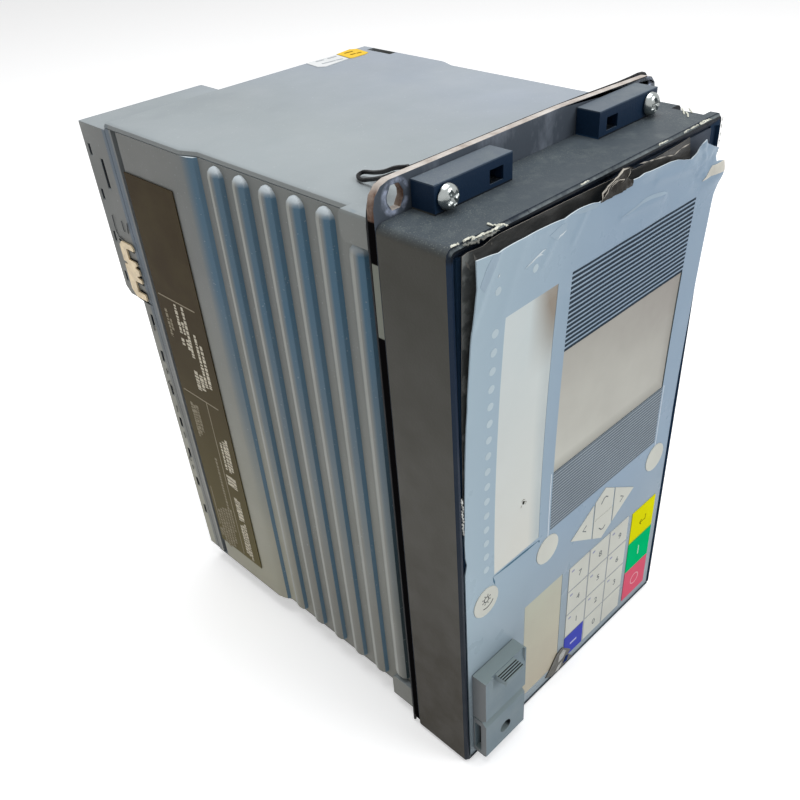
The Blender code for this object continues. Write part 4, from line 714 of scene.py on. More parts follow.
TOP_EDGE = (
    (73.4, 229.6), (73.0, 233.8), (70.6, 234.4), (68.2, 234.6), (67.6, 236.8), (69.2, 238.2), (70.0, 239.2),
    (65.2, 241.2),
    (61.6, 242.9), (60.2, 243.6), (58.6, 245.3), (57.0, 244.6), (55.0, 242.7), (52.4, 241.3), (49.8, 240.6),
    (45.0, 241.8),
    (40.4, 243.2), (34.8, 244.1), (27.5, 244.5), (22.2, 244.8), (17.9, 245.3), (14.8, 244.9), (11.2, 245.2),
    (8.6, 245.3),
    (5.4, 244.4), (1.6, 244.3), (-3.0, 244.0), (-6.8, 244.0), (-8.6, 243.9), (-11.2, 244.6), (-14.3, 245.2),
    (-20.2, 245.5),
    (-27.4, 245.1), (-34.0, 245.8), (-40.9, 246.3), (-47.2, 246.6), (-54.0, 246.9), (-61.3, 246.9),
    (-66.7, 247.6), (-70.9, 248.1),
)
LEFT_EDGE = (
    (-70.2, 243.6), (-69.5, 238.3), (-69.9, 232.0), (-70.7, 226.1), (-71.0, 200.0), (-71.2, 175.4),
    (-71.1, 147.7),
    (-71.3, 136.0), (-71.0, 128.0), (-70.2, 124.0), (-71.3, 119.0),
)
GLUE_EDGE = (
    (-70.9, 150), (54.6, 150), (54.6, 236), (53.6, 242), (51.8, 247.3), (45, 246.9), (32, 246.4), (20, 246.3),
    (7.7, 246.8),
    (-3.7, 247.3), (-14.6, 247.6), (-35, 248.2), (-54, 248.8), (-58, 248.6), (-62, 247.7), (-66.3, 248.1),
    (-68.8, 248.3), (-70.9, 247.8),
)
CURL = (
    (-8.1, 243.6), (-7.3, 246.0), (-4.8, 247.8), (-1.6, 248.8), (1.6, 249.8), (4.8, 250.7), (7.7, 250.5),
    (10.2, 249.5),
    (9.2, 248.4), (7.6, 247.9), (6.6, 247.3), (8.5, 246.2), (10.2, 245.6), (9.8, 243.6),
)
TAPE = (
    (73.2, 234.0), (68.4, 233.7), (65.5, 233.8), (63.9, 232.2), (60.6, 229.2), (63.0, 229.4), (65.2, 230.0),
    (73.2, 229.8)
)
# Pale patches on the film: painted highlights where its creases catch the light
CREASE_HIGHLIGHTS = (
    (
        (5.7, 233.6), (13.0, 233.5), (19.5, 234.2), (25.4, 233.9), (31.0, 233.0), (36.5, 232.4),
        (33.3, 234.0), (27.0, 235.2), (21.0, 235.6), (15.2, 234.5)
    ),
    ((-35.0, 242.2), (-28.9, 243.8), (-25.6, 243.3), (-26.2, 240.8), (-29.1, 239.3), (-31.3, 239.4)),
    ((-24.5, 245.3), (-14.3, 245.0), (-8.6, 243.6), (-10.4, 242.7), (-19.3, 243.7)),
    (
        (-60.3, 246.6), (-61.3, 244.1), (-64.0, 240.1), (-66.4, 236.5), (-68.4, 238.7), (-65.9, 244.0),
        (-63.5, 246.8)
    ),
)
SCRATCHES = (
    ((-46.8, 235.8), (-42.9, 236.9), (-40.9, 237.5), (-38.0, 238.3), (-36.4, 238.4)),
    ((-41.4, 237.2), (-39.4, 237.6), (-37.4, 236.9)),
    ((-30.4, 239.2), (-29.4, 240.0), (-27.7, 240.1), (-25.6, 240.8)), ((-60.2, 238.3), (-59.3, 239.5)),
)


def line_on_film(points, width, front=-0.1, place=film_point):
    """Flat line of a width that lies on the film."""
    return on_film(flat_sheet(ribbon(points, width), step=1.0), front, 0.08, place)


def ribbon(points, width):
    """Outline of a line of a width, with pointed ends."""
    lefts, rights = [], []
    for i in range(1, len(points) - 1):
        heading = (Vector(points[i + 1]) - Vector(points[i - 1])).normalized()
        across = Vector((-heading.y, heading.x)) * width / 2
        lefts.append(tuple(Vector(points[i]) + across))
        rights.append(tuple(Vector(points[i]) - across))
    if not lefts:
        (u, v), (p, q) = points
        heading = Vector((p - u, q - v)).normalized()
        across = Vector((-heading.y, heading.x)) * width / 2
        centre = Vector(((u + p) / 2, (v + q) / 2))
        lefts, rights = [tuple(centre + across)], [tuple(centre - across)]
    return [tuple(points[0]), *rights, tuple(points[-1]), *lefts[::-1]]


def build_film():
    outline = [
        (FILM_LEFT, FILM_BOTTOM), (72.6, FILM_BOTTOM), (72.5, 120), (FILM_RIGHT, 190), *TOP_EDGE, *LEFT_EDGE
    ]
    port = rectangle(PORT[0] + 3.2, PORT[1] - 3.2, PORT[2] + 3.2, PORT[3] - 3.2)
    holes = [rectangle(*STRIP), rectangle(*DISPLAY), rectangle(*LOWER_STRIP), port]
    holes += [key_outline(name, 0.06) for name in nodes if name.startswith("key_")]
    sheet = on_film(flat_sheet(outline, holes, 4.0, (222, 1.0)), 0.0, FILM_THICKNESS)
    film = make("film_sheet", sheet, film_paint(), smooth=True)
    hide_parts("front_film")
    strip = on_film(flat_sheet(rectangle(*STRIP), step=5.0), 0.1, 0.3)
    pane = make("strip_pane", strip, card_paint(), smooth=True)
    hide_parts("upper_label_strip")
    window = on_film(flat_sheet(rectangle(*DISPLAY), step=5.0), 0.12, 0.3)
    pane = make("display_pane", window, display_paint(), smooth=True)
    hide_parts("display_window")


def build_torn_film():
    """Glue left behind by the film, its curl, the tape at the corner, the marks of handling and painted
    highlights on the film's creases.
    """
    glue = glue_paint()
    sheet = on_film(flat_sheet(GLUE_EDGE, step=3.0), 0.0, 0.15, glue_point)
    make("glue_sheet", sheet, glue, smooth=True)
    pale = flat_print("torn_edge", "C9C3B8", 0.2)
    curl = on_film(flat_sheet(CURL, step=1.2), 0.0, 0.25, curl_point)
    make(
        "film_curl", curl,
        varied("curl_film", "26231F", 0.3, spread=0.6, scale=260, strength=0.3, specular=0.1),
        smooth=True
    )
    lines = [
        (
            (-8.2, 243.8), (-6.8, 246.2), (-4.6, 247.6), (-1.4, 248.6), (1.8, 249.6), (4.8, 250.4),
            (7.6, 250.2)
        ),
        ((-6.8, 244.6), (-4.6, 246.4), (-2.0, 247.4), (0.6, 248.2), (1.8, 248.8)),
        ((-2.6, 246.2), (0.4, 247.6), (2.4, 247.9), (4.6, 247.4), (3.0, 246.8)),
        ((6.6, 247.2), (8.0, 248.4), (8.9, 249.6)),
    ]
    make(
        "curl_rims",
        merged([line_on_film(p, w, -0.12, curl_point) for p, w in zip(lines, (0.55, 0.3, 0.3, 0.45))]), pale,
    )
    fleck = [
        (19.3, 247.4), (25.1, 246.6), (28.9, 246.0), (36.9, 244.9), (41.8, 243.8), (46.2, 244.9),
        (52.3, 245.0)
    ]
    streaks = [line_on_film(fleck[i:i + 2], 0.5, -0.1, glue_point) for i in range(len(fleck) - 1)]
    make("glue_flecks", merged(streaks), pale)
    marks = (
        ((-69.6, 246.0), (-67.4, 242.4)), ((-66.2, 247.0), (-64.2, 243.0)), ((-58.6, 247.6), (-57.8, 246.8))
    )
    faint = [line_on_film(line, 0.9, -0.1, glue_point) for line in marks]
    make("glue_marks", merged(faint), flat_print("glue_haze", "77746F", 0.3))
    tape = on_film(flat_sheet(TAPE, step=1.5), -0.2, 0.15)
    make(
        "tape", tape, varied("tape_beige", "D2CFC4", 0.4, spread=0.1, scale=200, specular=0.2),
        smooth=True
    )
    # Painted highlights where the film's creases catch the light
    crease_highlight_paint = flat_print("film_crease_highlight", "A8BAC8", 0.06)
    make(
        "crease_highlights", merged([on_film(flat_sheet(o, step=0.8), -0.07, 0.05) for o in CREASE_HIGHLIGHTS]), crease_highlight_paint,
    )
    scratch = flat_print("film_scratch", "D9E2E6", 0.06)
    make("scratches", merged([line_on_film(p, 0.6) for p in SCRATCHES]), scratch)
    build_puncture()
    build_bottom_tear()


def build_puncture():
    """Hole poked through the label window, with crinkled rims, and the slot line at its foot."""
    u, v = -37.5, 133.0
    hole = [
        (u + 0.7 * math.cos(a), v + 0.9 * math.sin(a) + 0.2 * math.cos(3 * a))
        for a in [0.7 * k for k in range(9)]
    ]
    # Painted shade in the hole
    dark = flat_print("hole_dark", "33342F", 0.2)
    make("puncture", on_film(flat_sheet(hole, step=1.0), 0.02, 0.06), dark)
    rims = [
        ((u - 1.4, v + 1.2), (u - 0.2, v + 1.7), (u + 1.0, v + 1.2)),
        ((u + 0.6, v + 0.6), (u + 1.6, v - 0.4), (u + 1.2, v - 1.6)), ((u - 1.0, v - 0.6), (u - 1.6, v - 1.8))
    ]
    make(
        "puncture_rim", merged([line_on_film(p, 0.5, 0.0) for p in rims]),
        flat_print("hole_rim", "A8A69C", 0.3)
    )
    left, right, low = STRIP[0] - 0.8, STRIP[1] + 0.1, STRIP[2] - 1.2
    slot_line = [(left, low + 0.4), (left + 9, low), (right - 8, low - 0.4), (right, low - 0.6)]
    ends = [
        ((left, low + 0.4), (left + 0.7, low - 2.4), (left + 1.2, low - 4.6)),
        ((right, low - 0.6), (right + 0.3, low - 2.0))
    ]
    edges = [line_on_film(slot_line, 0.9)] + [line_on_film(p, 0.8) for p in ends]
    make("slot_line", merged(edges), flat_print("slot_shadow", "5C7C90", 0.1))


def build_bottom_tear():
    """Torn corner of the film at the lower edge, beside the lower label."""
    tear = [
        (-16.6, 4.7), (-12.9, 8.9), (-10.6, 12.2), (-8.5, 14.9), (-6.0, 16.2), (-3.8, 16.3), (-1.2, 13.6),
        (1.0, 11.4), (3.4, 8.6), (1.2, 7.4), (3.0, 4.4), (5.4, 1.8), (-12, 1.7)
    ]
    paint = varied("tear_brown", "4A4841", 0.4, spread=0.35, scale=240, strength=0.3, specular=0.3)
    make("tear", on_film(flat_sheet(tear, step=2.0), -0.45, 0.4), paint)
    foil = varied("tear_foil", "9A9A96", 0.3, 0.4, 0.3, 400, strength=0.4)
    patches = [
        [(-7.2, 7.6), (-6.4, 12.6), (-3.4, 14.6), (-0.8, 11.6), (-3.2, 8.2)],
        [(-9.4, 2.2), (-6.6, 5.6), (-3.8, 6.2), (-4.6, 3.4), (-7.0, 1.8)],
    ]
    make(
        "tear_foil", merged([on_film(flat_sheet(o, step=1.5), -0.55, 0.15) for o in patches]), foil,
    )
    blue = on_film(flat_sheet([(-2.8, 3.4), (-0.6, 7.2), (1.4, 6.4), (0.4, 2.8)], step=1.5), -0.6, 0.15)
    make("tear_blue", blue, flat_print("tear_ink", "24386E", 0.2))


def build_prints():
    dark = flat_print("print_dark", "3A444E")
    grey = flat_print("print_grey", "737D86")
    white = flat_print("print_white", "D6E0E8")
    lamp = flat_print("print_lamp", "C2D1D8")
    left, right, low, high = DISPLAY
    top = STRIP[3]
    stripes = []
    count = 16
    pitch = (top - high) / count
    for i in range(count):
        base = high + i * pitch
        stripes.append(rectangle(left, right, base, base + 0.58 * pitch))
    stripes.append(rectangle(left, right, top, top + 0.5 * pitch))
    prints("stripes_upper", stripes, dark, 6.0)
    bottom = 105.6
    count = 20
    pitch = (low - bottom) / count
    shade = [rectangle(left, right, bottom, low - 0.4)]
    prints("stripes_ground", shade, flat_print("print_slate", "AAB4BB"), 6.0)
    stripes = []
    for i in range(count):
        base = bottom + i * pitch
        stripes.append(rectangle(left, right, base, base + 0.6 * pitch))
    shapes = [on_film(flat_sheet(outline, step=6.0), -0.12, 0.08) for outline in stripes]
    make("stripes_lower", merged(shapes), grey)
    lines = [
        rectangle(left - 1.6, left - 1.0, 100.0, low),
        rectangle(right + 1.0, right + 1.6, 102.0, low),
    ]
    prints("guide_lines", lines, white, 6.0)
    # Painted shadow along the display's right and lower edges
    edge = [rectangle(right - 0.5, right + 0.15, low, high), rectangle(left, right, low - 0.5, low)]
    prints("display_edge_shadow", edge, flat_print("print_edge_shadow", "4E585C"), 6.0)
    spots = [circle(-59.4, 113.2 + 7.05 * i, 1.6, 12) for i in range(16)]
    spots += [circle(-59.4, 233.7, 1.45, 12), circle(-41.0, 233.7, 1.45, 12)]
    prints("lamp_dots", spots, lamp, 4.0)


# Marks on the keys

def text_mark(name, text, u, v, size, front, paint, body):
    """Flat number on a key."""
    curve = bpy.data.curves.new(name, "FONT")
    curve.body = text
    curve.size = size
    curve.align_x = "CENTER"
    curve.align_y = "CENTER"
    curve.extrude = 0.03
    obj = bpy.data.objects.new(name, curve)
    bpy.context.scene.collection.objects.link(obj)
    obj.rotation_euler = (math.radians(90), 0, 0)
    obj.location = (u, front - 0.02, v)
    bpy.context.view_layer.update()
    mesh = bpy.data.meshes.new_from_object(obj)
    shape = bmesh.new()
    shape.from_mesh(mesh)
    shape.transform(obj.matrix_world)
    bpy.data.objects.remove(obj)
    bpy.data.curves.remove(curve)
    return make(name, shape, paint, body)


def stroke(points, width, front, thickness=0.06):
    """Flat line of a width along points in the front view."""
    shape = bmesh.new()
    half = width / 2
    lefts, rights = [], []
    for i, point in enumerate(points):
        here = Vector(point)
        before = Vector(points[max(i - 1, 0)])
        after = Vector(points[min(i + 1, len(points) - 1)])
        heading = (after - before).normalized()
        across = Vector((-heading.y, heading.x))
        lefts.append(here + across * half)
        rights.append(here - across * half)
    loop = lefts + rights[::-1]
    for depth in (front, front - thickness):
        for p in loop:
            shape.verts.new((p.x, depth, p.y))
    shape.verts.ensure_lookup_table()
    count = len(loop)
    size = len(points)
    for level in (0, count):
        for i in range(size - 1):
            shape.faces.new([shape.verts[level + k] for k in (i, i + 1, count - 2 - i, count - 1 - i)])
    for i in range(count):
        j = (i + 1) % count
        shape.faces.new([shape.verts[k] for k in (i, j, count + j, count + i)])
    bmesh.ops.recalc_face_normals(shape, faces=shape.faces[:])
    return shape


def arc_points(u, v, radius, start, stop, steps=14):
    return [
        (u + radius * math.cos(math.radians(start + (stop - start) * i / steps)),
         v + radius * math.sin(math.radians(start + (stop - start) * i / steps)))
        for i in range(steps + 1)
    ]


def key_lines():
    """Printed strips that fill the grooves between the keys."""
    low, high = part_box("key_fn")
    left, bottom = low.x / MM - 0.5, low.z / MM - 0.5
    pitch = (high.x - low.x) / MM + 1
    half = 0.44
    across = [
        rectangle(left, left + 3 * pitch, bottom + k * pitch - half, bottom + k * pitch + half)
        for k in (1, 2, 3)
    ]
    up = [
        rectangle(left + k * pitch - half, left + k * pitch + half, bottom, bottom + 4 * pitch)
        for k in (1, 2)
    ]
    grooves = [("key_grid", "A9AEB4", across), ("key_grid_up", "A9AEB4", up)]
    for name, code, below in (
        ("key_seam_red", "D9788A", "key_off"), ("key_seam_green", "9CC23A", "key_on"),
        ("key_seam_arrows", "D2D3CB", "key_down")
    ):
        low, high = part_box(below)
        top = high.z / MM + 0.5
        grooves.append((name, code, [rectangle(low.x / MM, high.x / MM, top - half, top + half)]))
    for index, (name, code, outlines) in enumerate(grooves):
        front = -0.14 - 0.02 * (index == 1)
        shapes = [on_film(flat_sheet(outline, step=16.0), front, 0.12) for outline in outlines]
        make(name, merged(shapes), flat_print(name, code, 0.1))


def build_key_marks():
    ink = flat_print("key_ink", "73797C")
    pale = flat_print("key_pale_ink", "BFE5D0")
    pink = flat_print("key_pink_ink", "F0AAB6")
    olive = flat_print("key_olive_ink", "9A9514")
    sky = flat_print("key_sky_ink", "B9BEE6")
    faint = flat_print("key_faint_ink", "A3A6BC")
    front = -29.2
    places = {}
    for name in nodes:
        if name.startswith("key_"):
            low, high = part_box(name)
            places[name] = ((low.x + high.x) / 2 / MM, (low.z + high.z) / 2 / MM)
    for digit in "0123456789":
        name = "key_" + digit
        u, v = places[name]
        text_mark("digit_" + digit, digit, u + 1.0, v - 0.8, 5.2, front, ink, name + "_cap")
        if digit != "0":
            mark = stroke([(u - 5.8, v + 4.6), (u - 3.8, v + 4.6)], 1.1, front)
            make("corner_mark_" + digit, mark, faint, name + "_cap")

    def marks(name, strokes, paint):
        u, v = places[name]
        shapes = [
            stroke([(u + x, v + z) for x, z in points], width, front - 0.001 * k)
            for k, (points, width) in enumerate(strokes)
        ]
        make("mark_" + name, merged(shapes), paint, name + "_cap")

    marks("key_up", [([(-2.6, -0.6), (-0.6, 1.8), (0.8, 2.0), (2.4, 0.8)], 0.55)], ink)
    marks("key_down", [([(-2.6, 0.6), (-0.6, -1.6), (0.8, -1.8), (2.4, -0.6)], 0.55)], ink)
    marks("key_left", [([(3.0, 1.8), (0.4, 0.0), (3.0, -1.8)], 0.55)], ink)
    marks("key_right", [([(-3.0, 1.8), (-0.4, 0.0), (-3.0, -1.8)], 0.55)], ink)
    marks(
        "key_enter",
        [([(2.6, 2.0), (2.6, -0.9), (-2.2, -0.9)], 0.7), ([(-0.8, 0.7), (-2.4, -0.9), (-0.8, -2.5)], 0.7)],
        olive
    )
    marks("key_on", [([(0, -3.0), (0, 3.0)], 0.7)], pale)
    marks("key_off", [(arc_points(0, 0, 3.4, 0, 360, 28), 0.7)], pink)
    marks("key_fn", [([(-2.6, -0.4), (2.6, -0.4)], 1.3)], sky)
    rays = [(arc_points(0, 1.4, 1.35, 0, 360, 18), 0.4)]
    for k in range(8):
        angle = math.radians(45 * k + 22.5)
        rays.append(([(r * math.cos(angle), 1.4 + r * math.sin(angle)) for r in (1.9, 2.7)], 0.35))
    rays.append((arc_points(0, 1.2, 4.6, 245, 330, 8), 0.4))
    marks("key_lamp_test", rays, flat_print("key_lamp_ink", "4A4E50"))


# Marks on the flanks

# Columns of marks on the label of the left flank: back from the flange, top, bottom, width
BRIGHT_MARKS = (
    (140.6, 176.0, 161.5, 1.2), (134.9, 176.5, 150.4, 1.2), (137.6, 168.0, 161.5, 1.1),
    (141.0, 158.6, 155.0, 1.2), (137.0, 159.2, 153.8, 1.2),
    (129.5, 164.4, 136.1, 1.2), (126.2, 159.9, 136.8, 1.2), (132.8, 141.8, 133.3, 1.6),
    (136.6, 142.7, 132.2, 1.8), (127.0, 105.8, 86.6, 1.4),
    (124.6, 108.0, 88.0, 1.1), (130.0, 104.0, 87.0, 1.0), (130.8, 83.0, 76.6, 1.6), (128.2, 83.2, 76.2, 1.6),
    (125.6, 83.0, 76.0, 1.6),
    (128.8, 68.8, 53.4, 1.5), (126.4, 68.0, 54.0, 1.5), (129.6, 49.5, 28.9, 1.1), (127.6, 50.5, 27.6, 0.9),
    (125.8, 52.3, 26.0, 0.9),
)
FAINT_MARKS = (
    (150.0, 170.8, 156.4, 1.1), (147.6, 166.4, 160.5, 1.0), (149.0, 120.0, 99.0, 1.2),
    (146.8, 119.0, 101.0, 1.2), (144.4, 119.7, 103.8, 1.2),
    (139.0, 89.8, 55.5, 1.0), (150.0, 49.0, 24.0, 1.1), (147.4, 51.0, 22.6, 1.1), (144.8, 53.0, 25.0, 1.1),
    (142.2, 54.0, 26.0, 1.1),
    (139.6, 55.0, 30.0, 1.0), (137.2, 56.0, 40.0, 1.0), (152.6, 34.0, 28.0, 1.6),
)
LABEL_LINES = (
    ((153.0, 177.6), (124.2, 177.6)), ((153.0, 126.2), (124.2, 126.2)), ((134.0, 126.0), (134.0, 26.0)),
    ((152.4, 64.2), (152.4, 37.0)),
)


def on_flank(shape, outer):
    """Turn a shape made for the front view onto the left flank, at a place across."""
    for vert in shape.verts:
        vert.co = Vector((outer + vert.co.y, vert.co.x, vert.co.z))
    bmesh.ops.recalc_face_normals(shape, faces=shape.faces[:])
    return shape


def dashes(columns, seed):
    """Short strokes along each column, with gaps between them."""
    rng = random.Random(seed)
    shapes = []
    for y, top, bottom, width in columns:
        z = top
        while z > bottom:
            length = rng.uniform(0.7, 2.2)
            shapes.append(
                stroke([(y, z), (y, max(z - length, bottom))], 1.9 * width * rng.uniform(0.7, 1.0), 0.0)
            )
            z -= length + rng.uniform(0.35, 0.7)
    return shapes


def build_label_marks():
    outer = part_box("rating_label")[0].x / MM
    rules = [stroke(line, 0.55, 0.0) for line in LABEL_LINES]
    for name, code, shapes in (
        ("label_bright", "E4DCC9", dashes(BRIGHT_MARKS, 4)),
        ("label_faint", "A89F8B", dashes(FAINT_MARKS, 5)), ("label_lines", "B3A995", rules),
    ):
        make(name, on_flank(merged(shapes), outer), flat_print(name, code, 0.15))


CLIP = (
    (177.0, 194.6), (174.6, 196.6), (166.6, 196.6), (165.2, 195.2), (165.2, 193.8), (171.8, 193.8),
    (171.8, 188.4), (166.6, 188.4),
    (165.6, 187.0), (167.6, 185.8), (167.6, 185.2), (165.4, 184.6), (165.4, 182.0), (168.0, 181.2),
    (168.0, 180.6), (165.4, 179.9),
    (165.4, 178.0), (171.4, 178.0), (171.4, 172.4), (165.4, 172.4), (165.4, 169.2), (174.0, 169.2),
    (177.0, 172.4), (177.0, 185.2),
    (174.4, 185.6), (174.4, 186.4), (177.0, 186.8),
)
WELL_LINES = (
    ((176.9, 170.2), (174.6, 168.4), (170.0, 168.0), (165.2, 167.9)), ((171.2, 193.5), (166.1, 192.9)),
    ((171.6, 188.6), (165.7, 188.6)),
    ((177.0, 185.9), (173.8, 185.8)), ((168.9, 185.4), (165.4, 185.4)), ((168.9, 180.9), (165.6, 180.9)),
    ((171.3, 177.4), (165.6, 177.0)),
    ((170.2, 173.4), (165.5, 172.6)), ((177.6, 196.6), (175.6, 195.8)),
)
ENGRAVED = (
    ((177.9, 207.8), (178.2, 204.0), (178.0, 200.2), (176.9, 198.1), (173.0, 197.3)),
    ((170.6, 206.9), (170.3, 205.1), (170.4, 203.2), (169.8, 202.0)),
    ((165.7, 207.0), (166.2, 204.8), (167.0, 201.9)), ((167.4, 155.4), (167.5, 152.6)),
    ((166.3, 141.4), (166.7, 138.4)), ((166.6, 131.8), (166.5, 128.7)),
    ((167.2, 124.3), (168.6, 122.7), (166.4, 121.9)), ((166.6, 120.4), (166.5, 117.9)),
    ((167.0, 109.4), (167.2, 105.3)), ((166.9, 92.8), (166.5, 89.1)),
    ((167.1, 77.6), (168.9, 73.8), (167.0, 73.4)), ((167.6, 70.4), (167.4, 67.6)),
    ((166.5, 59.7), (166.6, 56.8)), ((166.8, 42.8), (166.6, 40.6)),
)


def build_clip():
    """Spring contact of the left flank in full detail, painted shadows in the well round it, and the moulded
    marks round it.
    """
    low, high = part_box("contact_spring")
    thick = (high.x - low.x) / MM
    sheet = on_film(flat_sheet(CLIP, step=3.0), 0.0, thick, lambda u, v, depth: Vector((u, depth, v)))
    clip = make("spring_clip", on_flank(sheet, low.x / MM), PAINTS["contact_spring"])
    bevel = clip.modifiers.new("bevel", "BEVEL")
    bevel.width = 0.2 * MM
    bevel.segments = 2
    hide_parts("contact_spring")
    outer = high.x / MM
    # Painted shadows in the well round the clip
    dark = flat_print("clip_shadow", "26282A", 0.2)
    make(
        "clip_shadows", on_flank(merged([stroke(line, 0.8, 0.0) for line in WELL_LINES]), outer), dark,
    )
    soft = flat_print("block_lines", "4A4E50", 0.2)
    make(
        "block_marks", on_flank(merged([stroke(line, 0.55, 0.0) for line in ENGRAVED]), outer), soft,
    )


# Stickers of the roof: across, and back from the flange
WHITE_STICKER = ((32.6, 159.6), (34.6, 161.0), (51.2, 160.0), (49.6, 149.6), (33.9, 148.2), (31.6, 150.8))
YELLOW_STICKER = (
    (52.0, 160.8), (61.6, 162.4), (64.3, 159.8), (62.6, 150.0), (60.0, 148.9), (51.6, 148.9), (50.6, 149.8)
)
WHITE_DASHES = (
    ((36.9, 158.4), (41.5, 158.1)), ((43.8, 157.9), (49.0, 157.7)), ((36.2, 153.1), (43.6, 152.2)),
    ((44.3, 152.3), (47.7, 151.5))
)
YELLOW_DASHES = (
    ((54.9, 158.3), (59.9, 158.0)), ((54.7, 153.9), (57.6, 153.6)), ((58.2, 153.3), (61.0, 153.0))
)
STICKER_THICKNESS = 0.25


def on_roof(shape, level):
    """Turn a shape made for the front view flat onto the roof, at a height."""
    for vert in shape.verts:
        vert.co = Vector((vert.co.x, vert.co.z, level - vert.co.y))
    bmesh.ops.recalc_face_normals(shape, faces=shape.faces[:])
    return shape


def build_stickers():
    """Two stickers on the roof with plain dashes."""
    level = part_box("top_cover")[1].z / MM + STICKER_THICKNESS
    flat = lambda u, v, depth: Vector((u, depth, v))
    for name, outline, code in (
        ("sticker_white", WHITE_STICKER, "DADCDC"), ("sticker_yellow", YELLOW_STICKER, "EAC44C")
    ):
        sheet = on_film(flat_sheet(outline, step=4.0), 0.0, STICKER_THICKNESS, flat)
        make(name, on_roof(sheet, level), flat_print(name, code))
    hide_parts("top_sticker")
    for name, lines, code in (
        ("sticker_grey_marks", WHITE_DASHES, "A9ADB0"), ("sticker_brown_marks", YELLOW_DASHES, "8C6A1E")
    ):
        make(
            name, on_roof(merged([stroke(line, 1.1, -0.02) for line in lines]), level),
            flat_print(name, code)
        )


def build_screw(name):
    """Pan head with a stamped cross, in fine steps."""
    low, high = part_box(name)
    u, v = (low.x + high.x) / 2 / MM, (low.z + high.z) / 2 / MM
    radius = (high.x - low.x) / 2 / MM
    front = low.y / MM - FLANGE_Y
    turn = 0.5 if "left" in name else 0.2
    rings, sides = 30, 72
    shape = bmesh.new()
    rows = []
    for i in range(rings + 1):
        share = i / rings
        row = []
        for k in range(sides):
            angle = 2 * math.pi * k / sides
            x, z = share * radius * math.cos(angle), share * radius * math.sin(angle)
            a = abs(x * math.cos(turn) + z * math.sin(turn))
            b = abs(-x * math.sin(turn) + z * math.cos(turn))
            depth = 2.7 * (1 - math.sqrt(max(1 - share ** 3.2, 0)))
            wide, far = min(a, b), max(a, b)
            if wide < 0.9 and far < 0.62 * radius:
                depth += 1.1 * (1 - far / (0.66 * radius)) ** 0.5 * min(1, (0.9 - wide) / 0.35)
            row.append(shape.verts.new((u + x, front + 0.05 + depth, v + z)))
            if i == 0:
                break
        rows.append(row)
    for k in range(sides):
        shape.faces.new((rows[0][0], rows[1][k], rows[1][(k + 1) % sides]))
    for first, second in zip(rows[1:], rows[2:]):
        for k in range(sides):
            j = (k + 1) % sides
            shape.faces.new((first[k], second[k], second[j], first[j]))
    shape.faces.new(rows[-1])
    bmesh.ops.recalc_face_normals(shape, faces=shape.faces[:])
    shank = bmesh.new()
    bmesh.ops.create_cone(shank, cap_ends=True, segments=16, radius1=2.4, radius2=2.4, depth=12)
    turned = Matrix.Translation((u, front + 9, v)) @ Matrix.Rotation(math.radians(90), 4, "X")
    bmesh.ops.transform(shank, matrix=turned, verts=shank.verts)
    head = make(name + "_head", merged([shape, shank]), PAINTS["bezel_screw_left"], smooth=True)
    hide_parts(name)


# Damage

BURRS = (
    ((-73.4, -29.4), (-72.2, -28.6), (-70.9, -28.6), (-70.2, -29.4)),
    ((-68.4, -29.2), (-66.6, -28.8), (-65.0, -29.0), (-64.0, -29.6)),
    ((-66.0, -30.4), (-64.6, -30.2), (-62.4, -30.4), (-60.6, -29.9)),
    ((-62.0, -30.2), (-60.6, -30.6), (-58.6, -30.7), (-56.2, -30.6), (-54.6, -30.4), (-53.0, -30.6)),
    ((-54.6, -29.6), (-53.6, -30.2), (-52.4, -30.4), (-52.2, -31.4), (-53.0, -31.9)),
    ((-54.5, -26.0), (-55.0, -27.6), (-54.4, -29.0), (-53.1, -30.0)),
)
BURR_SHADOWS = (
    (
        (-69.4, -29.9), (-67.4, -30.3), (-65.0, -30.9), (-62.6, -30.9), (-60.4, -31.1), (-57.6, -31.3),
        (-55.2, -31.2)
    ),
)
NOTCH_SHREDS = (
    ((69.7, -15.2), (67.0, -17.4), (63.9, -19.5)), ((66.6, -18.6), (64.6, -20.6), (61.7, -22.5)),
    ((70.3, -17.8), (68.4, -19.6), (66.5, -21.3)),
    ((56.8, -30.2), (58.4, -29.6), (61.0, -29.4), (63.0, -29.9), (64.4, -30.4)),
    ((57.0, -30.4), (60.0, -30.3), (62.6, -30.4)), ((-14.4, -30.2), (-12.3, -30.1), (-9.8, -29.9)),
    ((45.9, -30.3), (48.2, -30.0), (50.0, -30.1)), ((50.6, -30.2), (53.4, -29.9), (56.0, -30.0)),
    ((30.0, -30.0), (33.0, -29.9), (36.0, -30.0)),
)


